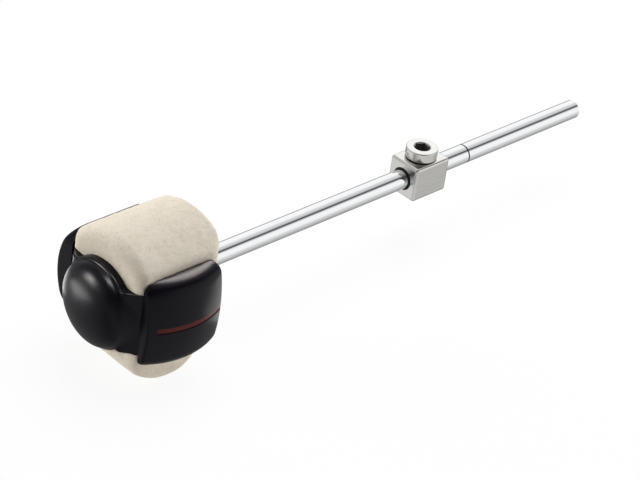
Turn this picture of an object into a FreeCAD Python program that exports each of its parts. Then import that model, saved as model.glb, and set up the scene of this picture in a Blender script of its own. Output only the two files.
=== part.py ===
import FreeCAD, Part
import math
import os

# Bass drum beater with a four-faced head, lying along X.
# +X runs along the shaft from the head to the free end, +Z up the clamp screw.
# The crowned plastic plate faces -Y, the straight one +Y, the straight felt +Z and the crowned felt -Z.
# The origin is the middle of the plain tail that the pedal's hub grips. All lengths are millimetres.

# Shaft
shaft_diameter = 8.0
spigot_diameter = 6.0
tail_length = 68.0
setting_ring_width = 0.6
setting_ring_depth = 0.25
tip_chamfer = 0.8
spigot_chamfer = 0.5
head_reach = 148.0

# Felt pads
felt_length = 40.9
straight_felt_radius = 28.0
crowned_felt_radius = 24.0
crowned_felt_reach = 30.2
crest_from_felt_rear = 21.6
felt_rim_rounding = 5.0
felt_front_corner = 4.5
felt_rear_corner = 7.0
felt_crown_rounding = 4.0
felt_clearance = 0.2

# Striking plates
face_half_width = 20.2
crowned_plate_reach = 9.4
crowned_plate_radius = 34.0
crowned_plate_cross_radius = 75.0
crowned_plate_half_height = 18.0
straight_plate_reach = 8.3
straight_plate_radius = 28.5
straight_plate_half_height = 19.4
plate_length = 33.6
plate_setback = 1.1
crowned_edge_rounding = 6.0
straight_edge_rounding = 1.0
straight_front_rounding = 1.2
plate_rear_corner = 3.5
crowned_front_corner = 2.2
straight_front_corner = 8.5
peg_radius = 2.5
peg_spacing = 16.0
peg_clearance = 0.05

# Red inlays in the plates
inlay_width = 2.4
inlay_groove_depth = 0.8
inlay_recess = 0.25
inlay_bottom_gap = 0.05
inlay_front_margin = 3.0

# Yoke that carries the plates
flange_radius = 17.9
flange_thickness = 3.3
strap_half_height = 13.1
strap_chamfer = 5.7
strap_blend = 3.0
arm_thickness = 3.0
arm_end_margin = 2.5
strap_edge_rounding = 0.9
cap_foot_flare = 1.9

# Hub core inside the felt
hub_radius = 7.0
wing_half_thickness = 2.5
rear_flange_radius = 13.0
rear_flange_thickness = 2.0
spigot_clearance = 0.05

# Washers and nut on the spigot
rear_washer_radius = 7.0
rear_washer_thickness = 1.2
front_washer_radius = 7.0
front_washer_thickness = 1.2
spring_washer_radius = 5.2
spring_washer_thickness = 1.6
spring_washer_slit = 0.8
nut_across_flats = 10.0
nut_height = 3.2
spigot_beyond_nut = 0.5

# Nose cap
cap_radius = 17.0
cap_height = 6.8
cap_lip_rounding = 1.2
cap_nut_gap = 0.5
cap_plug_depth = 1.2
nut_recess_depth = 2.0
cap_plug_wall = 2.9

# Balance weight
weight_length = 18.6
weight_width = 15.0
weight_height = 15.0
weight_edge_rounding = 0.8
weight_from_ring = 16.7
bore_clearance = 0.05
bush_wall = 1.0
bush_length = 4.0
bush_proud = 0.3
bush_slide_clearance = 0.03
bush_turn_clearance = 0.05

# Clamp screw and its pressure pad
screw_diameter = 8.0
screw_clearance = 0.05
screw_head_diameter = 13.0
screw_head_height = 4.1
screw_head_gap = 0.4
screw_head_rounding = 0.5
socket_across_flats = 6.0
socket_depth = 4.3
socket_chamfer = 0.5
screw_tip_gap = 0.6
pad_diameter = 5.0
pad_seat_depth = 1.8
pad_shaft_gap = 0.03
pad_seat_clearance = 0.05

# Extra length of every cutting tool past the face that it cuts
overrun = 1.0

# Places along the shaft
tip_x = tail_length / 2
ring_x = -tail_length / 2
felt_rear_x = ring_x - head_reach
felt_front_x = felt_rear_x - felt_length
plate_front_x = felt_front_x + plate_setback
plate_rear_x = plate_front_x + plate_length
plate_middle_x = (plate_front_x + plate_rear_x) / 2
crest_x = felt_rear_x - crest_from_felt_rear
flange_front_x = felt_front_x - flange_thickness
hub_rear_x = felt_rear_x + rear_flange_thickness
shoulder_x = hub_rear_x + rear_washer_thickness
nut_seat_x = flange_front_x + nut_recess_depth
front_washer_x = nut_seat_x - front_washer_thickness
spring_washer_x = front_washer_x - spring_washer_thickness
nut_front_x = spring_washer_x - nut_height
spigot_end_x = nut_front_x - spigot_beyond_nut
weight_rear_x = ring_x - weight_from_ring
weight_front_x = weight_rear_x - weight_length
weight_middle_x = (weight_front_x + weight_rear_x) / 2

# Sizes that follow from the fits
shaft_radius = shaft_diameter / 2
spigot_radius = spigot_diameter / 2
spigot_bore_radius = spigot_radius + spigot_clearance
felt_half_width = face_half_width - felt_clearance
arm_inner = face_half_width - arm_thickness
crowned_crest_y = face_half_width + crowned_plate_reach
straight_crest_y = face_half_width + straight_plate_reach
straight_axis_y = straight_crest_y - straight_plate_radius
beyond_plates_y = crowned_crest_y + straight_crest_y
arm_rear_x = plate_rear_x - arm_end_margin
inner_chamfer = strap_chamfer + arm_thickness * math.sqrt(2) - flange_thickness - arm_thickness
cap_cavity_radius = max(front_washer_radius, nut_across_flats / math.sqrt(3)) + cap_nut_gap
cap_plug_radius = cap_cavity_radius + cap_plug_wall
nut_recess_radius = cap_plug_radius + peg_clearance
bush_bore_radius = shaft_radius + bush_slide_clearance
bush_radius = bush_bore_radius + bush_wall
weight_top_z = weight_height / 2
screw_radius = screw_diameter / 2
screw_head_radius = screw_head_diameter / 2
screw_tip_z = shaft_radius + screw_tip_gap
head_bottom_z = weight_top_z + screw_head_gap
head_top_z = head_bottom_z + screw_head_height
pad_radius = pad_diameter / 2

ORIGIN = FreeCAD.Vector(0, 0, 0)
ALONG = FreeCAD.Vector(1, 0, 0)
ACROSS = FreeCAD.Vector(0, 1, 0)
UP = FreeCAD.Vector(0, 0, 1)


def rod(radius, x_from, x_to):
    """A cylinder on the shaft's axis."""
    return Part.makeCylinder(radius, x_to - x_from, FreeCAD.Vector(x_from, 0, 0), ALONG)


def post(radius, z_from, z_to):
    """A cylinder on the clamp screw's axis."""
    return Part.makeCylinder(radius, z_to - z_from, FreeCAD.Vector(weight_middle_x, 0, z_from), UP)


def peg(radius, x, y_from, y_to):
    """A cylinder across the shaft at a place along it."""
    return Part.makeCylinder(radius, y_to - y_from, FreeCAD.Vector(x, y_from, 0), ACROSS)


def block(x_from, x_to, y_from, y_to, z_from, z_to):
    corner = FreeCAD.Vector(x_from, y_from, z_from)
    return Part.makeBox(x_to - x_from, y_to - y_from, z_to - z_from, corner)


def turned(corners):
    """A solid turned about the shaft's axis from corners of (place along X, radius)."""
    points = [FreeCAD.Vector(x, 0, radius) for x, radius in corners]
    face = Part.Face(Part.makePolygon(points + points[:1]))
    return face.revolve(ORIGIN, ALONG, 360)


def slab(corners, half_height):
    """A flat outline of (x, y) corners, thickened evenly above and below the shaft's axis."""
    points = [FreeCAD.Vector(x, y, -half_height) for x, y in corners]
    face = Part.Face(Part.makePolygon(points + points[:1]))
    return face.extrude(UP * (2 * half_height))


def hexagon(across_flats, centre, direction, length):
    """A six-sided prism along X or Z whose first corner points across the shaft."""
    first = ACROSS * (across_flats / math.sqrt(3))
    second = direction.cross(first)
    turns = [math.radians(60 * i) for i in range(6)]
    points = [centre + first * math.cos(a) + second * math.sin(a) for a in turns]
    face = Part.Face(Part.makePolygon(points + points[:1]))
    return face.extrude(direction * length)


def edges_at(shape, axis, value):
    """The edges that lie wholly at one value of x, y or z (axis 0, 1 or 2)."""
    found = []
    for edge in shape.Edges:
        box = edge.BoundBox
        low = (box.XMin, box.YMin, box.ZMin)[axis]
        high = (box.XMax, box.YMax, box.ZMax)[axis]
        if max(abs(low - value), abs(high - value)) < overrun / 100:
            found.append(edge)
    return found


def edges_along(shape, direction):
    """The straight edges that run along a direction."""
    straight = [e for e in shape.Edges if isinstance(e.Curve, Part.Line)]
    return [e for e in straight if e.Curve.Direction.cross(direction).Length < 1e-6]


def edges_between(shape, direction, x):
    """The straight edges along a direction that lie at one place along the shaft."""
    return [e for e in edges_along(shape, direction) if abs(e.CenterOfMass.x - x) < overrun / 100]


def crown_axis():
    """The point on the shaft's level that the crowned plate's outer face curves about."""
    return FreeCAD.Vector(crest_x, crowned_plate_radius - crowned_crest_y, 0)


def crowned_drum():
    """A drum about the crown's upright axis, whose rim also bulges a little from top to bottom."""
    half_height = crowned_plate_half_height
    drop = crowned_plate_cross_radius - math.sqrt(crowned_plate_cross_radius ** 2 - half_height ** 2)
    low = crown_axis() - UP * half_height
    high = crown_axis() + UP * half_height
    low_rim = low + ALONG * (crowned_plate_radius - drop)
    high_rim = high + ALONG * (crowned_plate_radius - drop)
    crown = Part.Arc(low_rim, crown_axis() + ALONG * crowned_plate_radius, high_rim).toShape()
    sides = [Part.makeLine(low, low_rim), crown, Part.makeLine(high_rim, high), Part.makeLine(high, low)]
    return Part.Face(Part.Wire(sides)).revolve(crown_axis(), UP, 360)


def make_shaft():
    """The chromed rod: spigot through the head, setting ring and chamfered tip."""
    groove_radius = shaft_radius - setting_ring_depth
    return turned([
        (spigot_end_x, 0),
        (spigot_end_x, spigot_radius - spigot_chamfer),
        (spigot_end_x + spigot_chamfer, spigot_radius),
        (shoulder_x, spigot_radius),
        (shoulder_x, shaft_radius),
        (ring_x - setting_ring_width, shaft_radius),
        (ring_x - setting_ring_width, groove_radius),
        (ring_x, groove_radius),
        (ring_x, shaft_radius),
        (tip_x - tip_chamfer, shaft_radius),
        (tip_x, shaft_radius - tip_chamfer),
        (tip_x, 0),
    ])


def washer(radius, thickness, x_from):
    disc = rod(radius, x_from, x_from + thickness)
    return disc.cut(rod(spigot_bore_radius, x_from - overrun, x_from + thickness + overrun))


def make_spring_washer():
    """A split ring under the nut."""
    ring = washer(spring_washer_radius, spring_washer_thickness, spring_washer_x)
    half_slit = spring_washer_slit / 2
    x_to = spring_washer_x + spring_washer_thickness + overrun
    slit = block(spring_washer_x - overrun, x_to, -half_slit, half_slit, 0, spring_washer_radius + overrun)
    return ring.cut(slit)


def make_lock_nut():
    """A hexagon nut whose corners are turned down at both ends."""
    centre = FreeCAD.Vector(nut_front_x, 0, 0)
    nut = hexagon(nut_across_flats, centre, ALONG, nut_height)
    corner_radius = nut_across_flats / math.sqrt(3)
    corner_height = corner_radius - nut_across_flats / 2
    rounding = turned([
        (nut_front_x, 0),
        (nut_front_x, nut_across_flats / 2),
        (nut_front_x + corner_height, corner_radius),
        (spring_washer_x - corner_height, corner_radius),
        (spring_washer_x, nut_across_flats / 2),
        (spring_washer_x, 0),
    ])
    return nut.common(rounding).cut(rod(spigot_bore_radius, nut_front_x - overrun, spring_washer_x + overrun))


def make_hub_core():
    """The nylon tube on the spigot, with a flange behind the felt and two wings under the arms."""
    tube = rod(hub_radius, felt_front_x, felt_rear_x)
    flange = rod(rear_flange_radius, felt_rear_x, hub_rear_x)
    reach = arm_inner - felt_clearance
    wings = block(felt_front_x + inner_chamfer, felt_rear_x, -reach, reach,
                  -wing_half_thickness, wing_half_thickness)
    solid = tube.fuse([flange, wings]).removeSplitter()
    return solid.cut(rod(spigot_bore_radius, felt_front_x - overrun, hub_rear_x + overrun))


def yoke_space(clearance):
    """Everything at the height of the straps that lies outside the inner side of the yoke."""
    inner = arm_inner - clearance
    front = felt_front_x
    corner = inner_chamfer + clearance
    outside = straight_felt_radius + crowned_felt_reach
    room = block(front - overrun, arm_rear_x + clearance, -outside, outside,
                 -strap_half_height - clearance, strap_half_height + clearance)
    keep = slab([
        (front, inner - corner), (front + corner, inner), (arm_rear_x + outside, inner),
        (arm_rear_x + outside, -inner), (front + corner, -inner), (front, -inner + corner),
    ], strap_half_height + clearance + overrun)
    return room.cut(keep)


def fit_felt(body):
    """Opens a felt body for the hub tube and the yoke's straps and arms."""
    hub_room = rod(hub_radius + felt_clearance, felt_front_x - overrun, felt_rear_x + overrun)
    return body.cut(hub_room).cut(yoke_space(felt_clearance))


def felt_block(z_from, z_to):
    """The felt's outline seen from above, with rounded corners, between two heights."""
    felt = block(felt_front_x, felt_rear_x, -felt_half_width, felt_half_width, z_from, z_to)
    felt = felt.makeFillet(felt_front_corner, edges_between(felt, UP, felt_front_x))
    return felt.makeFillet(felt_rear_corner, edges_between(felt, UP, felt_rear_x))


def make_upper_felt():
    """The straight felt: a length of cylinder about the shaft with rounded rims."""
    drum = rod(straight_felt_radius, felt_front_x, felt_rear_x)
    rims = edges_at(drum, 0, felt_front_x) + edges_at(drum, 0, felt_rear_x)
    drum = drum.makeFillet(felt_rim_rounding, rims)
    bottom = wing_half_thickness + felt_clearance
    return fit_felt(drum.common(felt_block(bottom, straight_felt_radius + overrun)))


def make_lower_felt():
    """The crowned felt: a drum about an axis across the shaft, with all its lower edges rounded."""
    top = -wing_half_thickness - felt_clearance
    axis_z = crowned_felt_radius - crowned_felt_reach
    side_y = felt_half_width + overrun
    axis_end = FreeCAD.Vector(crest_x, -side_y, axis_z)
    drum = Part.makeCylinder(crowned_felt_radius, 2 * side_y, axis_end, ACROSS)
    upper_room = block(felt_front_x, felt_rear_x, -side_y, side_y, axis_z, 0)
    felt = felt_block(-crowned_felt_reach - overrun, top).common(drum.fuse(upper_room))
    rim = [e for e in felt.Edges if e.BoundBox.ZMax < axis_z - overrun]
    felt = felt.makeFillet(felt_crown_rounding, rim)
    return fit_felt(felt)


def on_flange_rim(point):
    return abs(math.hypot(point.y, point.z) - flange_radius) < overrun / 100


def cap_foot():
    """The cone that carries the cap's rim down onto the bent straps."""
    foot_radius = cap_radius + cap_foot_flare
    start = FreeCAD.Vector(flange_front_x, 0, 0)
    cone = Part.makeCone(cap_radius, foot_radius, flange_thickness, start, ALONG)
    level = strap_half_height - strap_edge_rounding
    return cone.common(block(flange_front_x, felt_front_x, -foot_radius, foot_radius, -level, level))


def make_face_yoke():
    """The moulded U: a round flange in front of the felt, two bent straps and two flat arms."""
    flange = rod(flange_radius, flange_front_x, felt_front_x)
    outer = face_half_width
    strap_edge = outer - strap_chamfer
    bend_x = flange_front_x + strap_chamfer
    bend_inner = arm_inner - inner_chamfer
    outline = [
        (arm_rear_x, outer), (bend_x, outer), (flange_front_x, strap_edge),
        (flange_front_x, -strap_edge), (bend_x, -outer), (arm_rear_x, -outer),
        (arm_rear_x, -arm_inner), (felt_front_x + inner_chamfer, -arm_inner), (felt_front_x, -bend_inner),
        (felt_front_x, bend_inner), (felt_front_x + inner_chamfer, arm_inner), (arm_rear_x, arm_inner),
    ]
    band = slab(outline, strap_half_height)
    long_edges = edges_at(band, 2, strap_half_height) + edges_at(band, 2, -strap_half_height)
    outer_edges = [e for e in long_edges if abs(e.CenterOfMass.y) > arm_inner and e.CenterOfMass.x < bend_x]
    band = band.makeFillet(strap_edge_rounding, outer_edges)
    yoke = flange.fuse([band, cap_foot()]).removeSplitter()
    corners = [e for e in edges_along(yoke, ALONG) if on_flange_rim(e.CenterOfMass)]
    yoke = yoke.makeFillet(strap_blend, corners)
    recess = rod(nut_recess_radius, flange_front_x - overrun, nut_seat_x)
    bore = rod(spigot_bore_radius, nut_seat_x - overrun, felt_front_x + overrun)
    yoke = yoke.cut(recess).cut(bore)
    for x in peg_places():
        yoke = yoke.cut(peg(peg_radius + peg_clearance, x, -outer - overrun, outer + overrun))
    return yoke


def peg_places():
    return [plate_middle_x - peg_spacing / 2, plate_middle_x + peg_spacing / 2]


def plate_outline(side, half_height, front_corner):
    """A plate's side view with rounded corners, from the yoke's arm outwards on one side (-1 or +1)."""
    near_y, far_y = sorted((side * face_half_width, side * beyond_plates_y))
    body = block(plate_front_x, plate_rear_x, near_y, far_y, -half_height, half_height)
    body = body.makeFillet(plate_rear_corner, edges_between(body, ACROSS, plate_rear_x))
    return body.makeFillet(front_corner, edges_between(body, ACROSS, plate_front_x))


def make_plate(body, side, half_height, front_corner):
    """Cuts a plate from its striking body and adds its two pegs."""
    plate = body.common(plate_outline(side, half_height, front_corner))
    peg_from, peg_to = sorted((side * arm_inner, side * (face_half_width + overrun)))
    return plate.fuse([peg(peg_radius, x, peg_from, peg_to) for x in peg_places()]).removeSplitter()


def inlay_room(side):
    """The stretch of a plate that the inlay runs over, out to the plate's rear end."""
    near_y, far_y = sorted((side * face_half_width, side * beyond_plates_y))
    return block(plate_front_x + inlay_front_margin, plate_rear_x, near_y, far_y, -inlay_width, inlay_width)


def crowned_strip(bottom_radius, outer_radius):
    """A strip as wide as the inlay that curves about the crown's upright axis."""
    centre = crown_axis() - UP * (inlay_width / 2)
    ring = Part.makeCylinder(outer_radius, inlay_width, centre, UP)
    return ring.cut(Part.makeCylinder(bottom_radius, inlay_width, centre, UP)).common(inlay_room(-1))


def straight_strip(bottom, top):
    """A strip as wide as the inlay that runs along the shaft."""
    half_width = inlay_width / 2
    bar = block(plate_front_x, plate_rear_x, bottom, top, -half_width, half_width)
    return bar.common(inlay_room(1))


def make_crowned_inlay():
    bottom = crowned_plate_radius - inlay_groove_depth + inlay_bottom_gap
    return crowned_strip(bottom, crowned_plate_radius - inlay_recess)


def make_straight_inlay():
    bottom = straight_crest_y - inlay_groove_depth + inlay_bottom_gap
    return straight_strip(bottom, straight_crest_y - inlay_recess)


def make_crowned_plate():
    """The plate that bulges along the shaft, with rounded upper and lower edges."""
    half_height = crowned_plate_half_height
    drum = crowned_drum()
    rims = edges_at(drum, 2, -half_height) + edges_at(drum, 2, half_height)
    drum = drum.makeFillet(crowned_edge_rounding, rims)
    plate = make_plate(drum, -1, half_height, crowned_front_corner)
    groove_bottom = crowned_plate_radius - inlay_groove_depth
    return plate.cut(crowned_strip(groove_bottom, crowned_plate_radius + overrun))


def make_straight_plate():
    """The plate that is straight along the shaft and round about a line along it."""
    half_height = straight_plate_half_height
    drum = rod(straight_plate_radius, plate_front_x, plate_rear_x)
    drum = drum.translated(ACROSS * straight_axis_y)
    drum = drum.makeFillet(straight_front_rounding, edges_at(drum, 0, plate_front_x))
    near_y = straight_axis_y - straight_plate_radius
    level = block(plate_front_x, plate_rear_x, near_y, straight_crest_y, -half_height, half_height)
    drum = drum.common(level)
    rims = edges_at(drum, 2, -half_height) + edges_at(drum, 2, half_height)
    long_rims = [e for e in rims if e.BoundBox.XLength > plate_length / 2]
    drum = drum.makeFillet(straight_edge_rounding, long_rims)
    plate = make_plate(drum, 1, half_height, straight_front_corner)
    groove_bottom = straight_crest_y - inlay_groove_depth
    return plate.cut(straight_strip(groove_bottom, straight_crest_y + overrun))


def make_nose_cap():
    """The domed cover, with a plug that sits in the flange round the nut."""
    middle = FreeCAD.Vector(flange_front_x, 0, 0)
    rim = middle + UP * cap_radius
    crest = middle - ALONG * cap_height
    curve = Part.ArcOfEllipse(Part.Ellipse(rim, crest, middle), 0, math.pi / 2).toShape()
    profile = Part.Wire([curve, Part.makeLine(crest, middle), Part.makeLine(middle, rim)])
    dome = Part.Face(profile).revolve(ORIGIN, ALONG, 360)
    dome = dome.makeFillet(cap_lip_rounding, edges_at(dome, 0, flange_front_x))
    plug = rod(cap_plug_radius, flange_front_x, flange_front_x + cap_plug_depth)
    cavity = rod(cap_cavity_radius, spigot_end_x - cap_nut_gap, flange_front_x + cap_plug_depth + overrun)
    return dome.fuse(plug).removeSplitter().cut(cavity)


def make_balance_weight():
    """The square block: bore with a bush seat at each end, and the screw's hole from the top."""
    half_width = weight_width / 2
    body = block(weight_front_x, weight_rear_x, -half_width, half_width, -weight_top_z, weight_top_z)
    body = body.makeFillet(weight_edge_rounding, body.Edges)
    seat_radius = bush_radius + bush_turn_clearance
    body = body.cut(rod(shaft_radius + bore_clearance, weight_front_x - overrun, weight_rear_x + overrun))
    body = body.cut(rod(seat_radius, weight_front_x - overrun, weight_front_x + bush_length))
    body = body.cut(rod(seat_radius, weight_rear_x - bush_length, weight_rear_x + overrun))
    return body.cut(post(screw_radius + screw_clearance, 0, weight_top_z + overrun))


def make_weight_bushes():
    """The two short black bushes that the weight slides and turns on."""
    end_gap = bush_turn_clearance
    spans = [
        (weight_front_x - bush_proud, weight_front_x + bush_length - end_gap),
        (weight_rear_x - bush_length + end_gap, weight_rear_x + bush_proud),
    ]
    rings = [rod(bush_radius, a, b).cut(rod(bush_bore_radius, a - overrun, b + overrun)) for a, b in spans]
    return Part.makeCompound(rings)


def make_clamp_screw():
    """The socket screw, with a seat for the pressure pad in its tip."""
    head = post(screw_head_radius, head_bottom_z, head_top_z)
    rims = edges_at(head, 2, head_top_z) + edges_at(head, 2, head_bottom_z)
    head = head.makeFillet(screw_head_rounding, rims)
    screw = head.fuse(post(screw_radius, screw_tip_z, head_bottom_z)).removeSplitter()
    bottom = FreeCAD.Vector(weight_middle_x, 0, head_top_z - socket_depth)
    screw = screw.cut(hexagon(socket_across_flats, bottom, UP, socket_depth + overrun))
    mouth_radius = socket_across_flats / math.sqrt(3) + socket_chamfer
    mouth = Part.makeCone(0, mouth_radius, mouth_radius,
                          FreeCAD.Vector(weight_middle_x, 0, head_top_z - mouth_radius), UP)
    screw = screw.cut(mouth)
    seat_top = screw_tip_z + pad_seat_depth
    return screw.cut(post(pad_radius + pad_seat_clearance, screw_tip_z - overrun, seat_top))


def make_pressure_pad():
    """The brass plug between the screw's tip and the shaft."""
    return post(pad_radius, shaft_radius + pad_shaft_gap, screw_tip_z + pad_seat_depth - pad_seat_clearance)


pieces = {
    "shaft": make_shaft(),
    "rear_washer": washer(rear_washer_radius, rear_washer_thickness, hub_rear_x),
    "hub_core": make_hub_core(),
    "upper_felt": make_upper_felt(),
    "lower_felt": make_lower_felt(),
    "face_yoke": make_face_yoke(),
    "crowned_plate": make_crowned_plate(),
    "straight_plate": make_straight_plate(),
    "crowned_inlay": make_crowned_inlay(),
    "straight_inlay": make_straight_inlay(),
    "front_washer": washer(front_washer_radius, front_washer_thickness, front_washer_x),
    "spring_washer": make_spring_washer(),
    "lock_nut": make_lock_nut(),
    "nose_cap": make_nose_cap(),
    "balance_weight": make_balance_weight(),
    "weight_bushes": make_weight_bushes(),
    "clamp_screw": make_clamp_screw(),
    "pressure_pad": make_pressure_pad(),
}

os.makedirs("parts", exist_ok=True)
for name, shape in pieces.items():
    shape.exportStep("parts/" + name + ".step")
    state = "valid" if shape.isValid() else "not valid"
    print(name, len(shape.Solids), "solid", round(shape.Volume, 1), "mm3", state)
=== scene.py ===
# %% [markdown]
# # A bass drum beater with a four-faced head
#
# The beater is a chromed rod with a felt and plastic head at one end and a sliding balance weight further
# up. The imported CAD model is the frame: every piece made here sits where a CAD node is and rides on that
# node's body, so the weight still slides and the clamp screw still turns. Shapes are worked out in
# millimetres, because the sizes of the real thing are easiest to read that way, and become metres as they
# enter a mesh.

# %% Load the frame
import math

import bmesh
import bpy
import numpy as np
from mathutils import Matrix, Vector


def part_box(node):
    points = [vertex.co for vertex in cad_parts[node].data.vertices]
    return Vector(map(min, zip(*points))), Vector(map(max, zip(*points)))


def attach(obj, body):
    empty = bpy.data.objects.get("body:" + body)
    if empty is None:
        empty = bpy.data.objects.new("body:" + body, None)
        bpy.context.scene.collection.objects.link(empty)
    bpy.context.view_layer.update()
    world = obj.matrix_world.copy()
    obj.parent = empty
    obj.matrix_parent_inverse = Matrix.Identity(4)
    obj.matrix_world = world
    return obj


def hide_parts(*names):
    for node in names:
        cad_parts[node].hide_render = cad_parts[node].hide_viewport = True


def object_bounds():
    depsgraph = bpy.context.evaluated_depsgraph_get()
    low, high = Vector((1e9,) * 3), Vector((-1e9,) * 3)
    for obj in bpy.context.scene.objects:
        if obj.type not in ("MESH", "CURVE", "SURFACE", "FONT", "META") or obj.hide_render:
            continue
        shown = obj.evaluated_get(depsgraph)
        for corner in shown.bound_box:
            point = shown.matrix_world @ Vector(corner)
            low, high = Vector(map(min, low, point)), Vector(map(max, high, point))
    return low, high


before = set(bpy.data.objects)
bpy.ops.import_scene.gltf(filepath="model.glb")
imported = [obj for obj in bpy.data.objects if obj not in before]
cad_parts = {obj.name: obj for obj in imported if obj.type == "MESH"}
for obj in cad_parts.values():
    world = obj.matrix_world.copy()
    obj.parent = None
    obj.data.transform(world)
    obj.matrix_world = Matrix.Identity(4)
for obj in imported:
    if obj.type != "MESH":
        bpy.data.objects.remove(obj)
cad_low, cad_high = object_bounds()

scene = bpy.context.scene
scene.view_settings.view_transform = "Standard"
mm_per_metre = 1000.0

# %% [markdown]
# ## From grids of points to a piece
#
# Every surface below is a grid of points computed with numpy. A closed form is made of several grids whose
# borders meet, such as the side of a block and its rounded edge. Joining them by merging the points that
# coincide keeps each formula short, and afterwards the faces are turned outwards in one go.

# %% Helpers for meshes
def box_mm(node):
    """A CAD node's lowest and highest corners at rest, in millimetres."""
    low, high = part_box(node)
    return np.array(low) * mm_per_metre, np.array(high) * mm_per_metre


def cells(rows, columns, first):
    """The four corner numbers of every cell of a grid of points that are counted row by row."""
    number = first + np.arange(rows * columns).reshape(rows, columns)
    corners = [number[:-1, :-1], number[:-1, 1:], number[1:, 1:], number[1:, :-1]]
    return np.stack(corners, axis=-1).reshape(-1, 4)


# %% A piece from its grids
def make_piece(name, grids, body, nodes, crease=35.0, merge_distance=3e-7):
    """Joins grids of points into one closed mesh that rides on a body and stands for CAD nodes.

    Points within the merge distance, in metres, become one and faces are turned outwards. Edges that bend by
    more than the crease angle, in degrees, stay sharp, and everything else is shaded smooth.
    """
    firsts = np.cumsum([0] + [grid.shape[0] * grid.shape[1] for grid in grids])
    points = np.concatenate([grid.reshape(-1, 3) for grid in grids]) / mm_per_metre
    faces = np.concatenate([cells(*grid.shape[:2], first) for grid, first in zip(grids, firsts)])
    mesh = bpy.data.meshes.new(name)
    mesh.from_pydata(points.tolist(), [], faces.tolist())
    shell = bmesh.new()
    shell.from_mesh(mesh)
    bmesh.ops.remove_doubles(shell, verts=shell.verts, dist=merge_distance)
    bmesh.ops.recalc_face_normals(shell, faces=shell.faces)
    open_edges = sum(1 for edge in shell.edges if len(edge.link_faces) != 2)
    shell.to_mesh(mesh)
    shell.free()
    mesh.shade_smooth()
    mesh.set_sharp_from_angle(angle=math.radians(crease))
    piece = bpy.data.objects.new(name, mesh)
    scene.collection.objects.link(piece)
    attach(piece, body)
    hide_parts(*nodes)
    print(f"{name}: {len(mesh.polygons)} faces, {open_edges} edges without two faces")
    return piece


# %% [markdown]
# ## Profiles with softened corners
#
# Nothing turned or moulded has a truly sharp corner: each is broken by a small radius, and that is what
# catches the light. A bevel modifier could round the corners afterwards, but it would round them all alike.
# So a profile lists its corners with a rounding for each, and a formula puts the arcs in.

# %% Helpers for profiles
def rounded_run(corners, steps=6, margin_share=0.3):
    """Straight runs between corners of (along, out, rounding), each corner turned by an arc.

    With u and v the directions to a corner's neighbours and b half the angle between them, the arc's centre
    lies rounding / sin(b) along u + v and the arc starts rounding / tan(b) from the corner. One more point
    outside each end of the arc, by a share of the rounding, keeps the shading of the straight runs flat.
    """
    corners = np.asarray(corners, float)
    ends, spot, radius = corners[[0, -1], :2], corners[1:-1, :2], corners[1:-1, 2:]
    back = corners[:-2, :2] - spot
    ahead = corners[2:, :2] - spot
    back /= np.linalg.norm(back, axis=1, keepdims=True)
    ahead /= np.linalg.norm(ahead, axis=1, keepdims=True)
    half = np.arccos(np.clip((back * ahead).sum(1, keepdims=True), -1, 1)) / 2
    middle = (back + ahead) / (2 * np.cos(half))
    across = (ahead - back) / (2 * np.sin(half))
    turn = (np.pi / 2 - half)[:, None] * np.linspace(-1, 1, steps)[:, None]
    centre = (spot + middle * radius / np.sin(half))[:, None]
    arc = centre + radius[:, None] * (across[:, None] * np.sin(turn) - middle[:, None] * np.cos(turn))
    outside = radius / np.tan(half) + margin_share * radius
    before, after = (spot + back * outside)[:, None], (spot + ahead * outside)[:, None]
    runs = np.concatenate([before, arc, after], axis=1)
    return np.concatenate([ends[:1], runs.reshape(-1, 2), ends[1:]])


# %% Helpers for turned shapes
def turned(profile, around=96):
    """A profile of (place along X, radius) turned about the shaft: y = radius cos a and z = radius sin a."""
    turn = np.linspace(0, 2 * np.pi, around + 1)
    place, radius = profile[:, :1], profile[:, 1:]
    return np.stack(np.broadcast_arrays(place, radius * np.cos(turn), radius * np.sin(turn)), axis=-1)


def closed_ring(x_from, x_to, r_from, r_to, rounding):
    """A ring about the shaft whose section is a rectangle with rounded corners."""
    middle = (r_from + r_to) / 2
    return turned(rounded_run([
        (x_from, middle, 0), (x_from, r_to, rounding), (x_to, r_to, rounding),
        (x_to, r_from, rounding), (x_from, r_from, rounding), (x_from, middle, 0),
    ]))


# %% Helpers for spacing
def inset(rounding, distance):
    """How far a surface sinks at a distance from an end that is rounded over: r - sqrt(r^2 - (r - d)^2)."""
    left = np.clip(rounding - distance, 0, rounding)
    return rounding - np.sqrt(rounding ** 2 - left ** 2)


def crowded(start, end, count):
    """Places from start to end that crowd towards both ends, as cosines do."""
    return start + (end - start) * (1 - np.cos(np.linspace(0, np.pi, count))) / 2


def along(start, end, count):
    """Even steps from start to end, a row for each entry of a list of starts or ends."""
    start, end = np.broadcast_arrays(np.atleast_1d(start), end)
    return start[:, None] + (end - start)[:, None] * np.linspace(0, 1, count)


def between(first, second, count):
    """A grid of points whose rows run in even steps from one line of points to another."""
    return first + (second - first) * np.linspace(0, 1, count)[:, None, None]


# %% [markdown]
# ## The shaft
#
# The shaft is an 8 mm rod, polished and chromed, with a thinner spigot inside the head and a fine scribed
# ring that shows how deep it goes into the pedal. Cylinders joined by boolean cuts would do, but a turned
# profile gives the rod, spigot and ring in one grid. Its corners get tiny arcs, because chrome glints on
# every edge.

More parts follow.
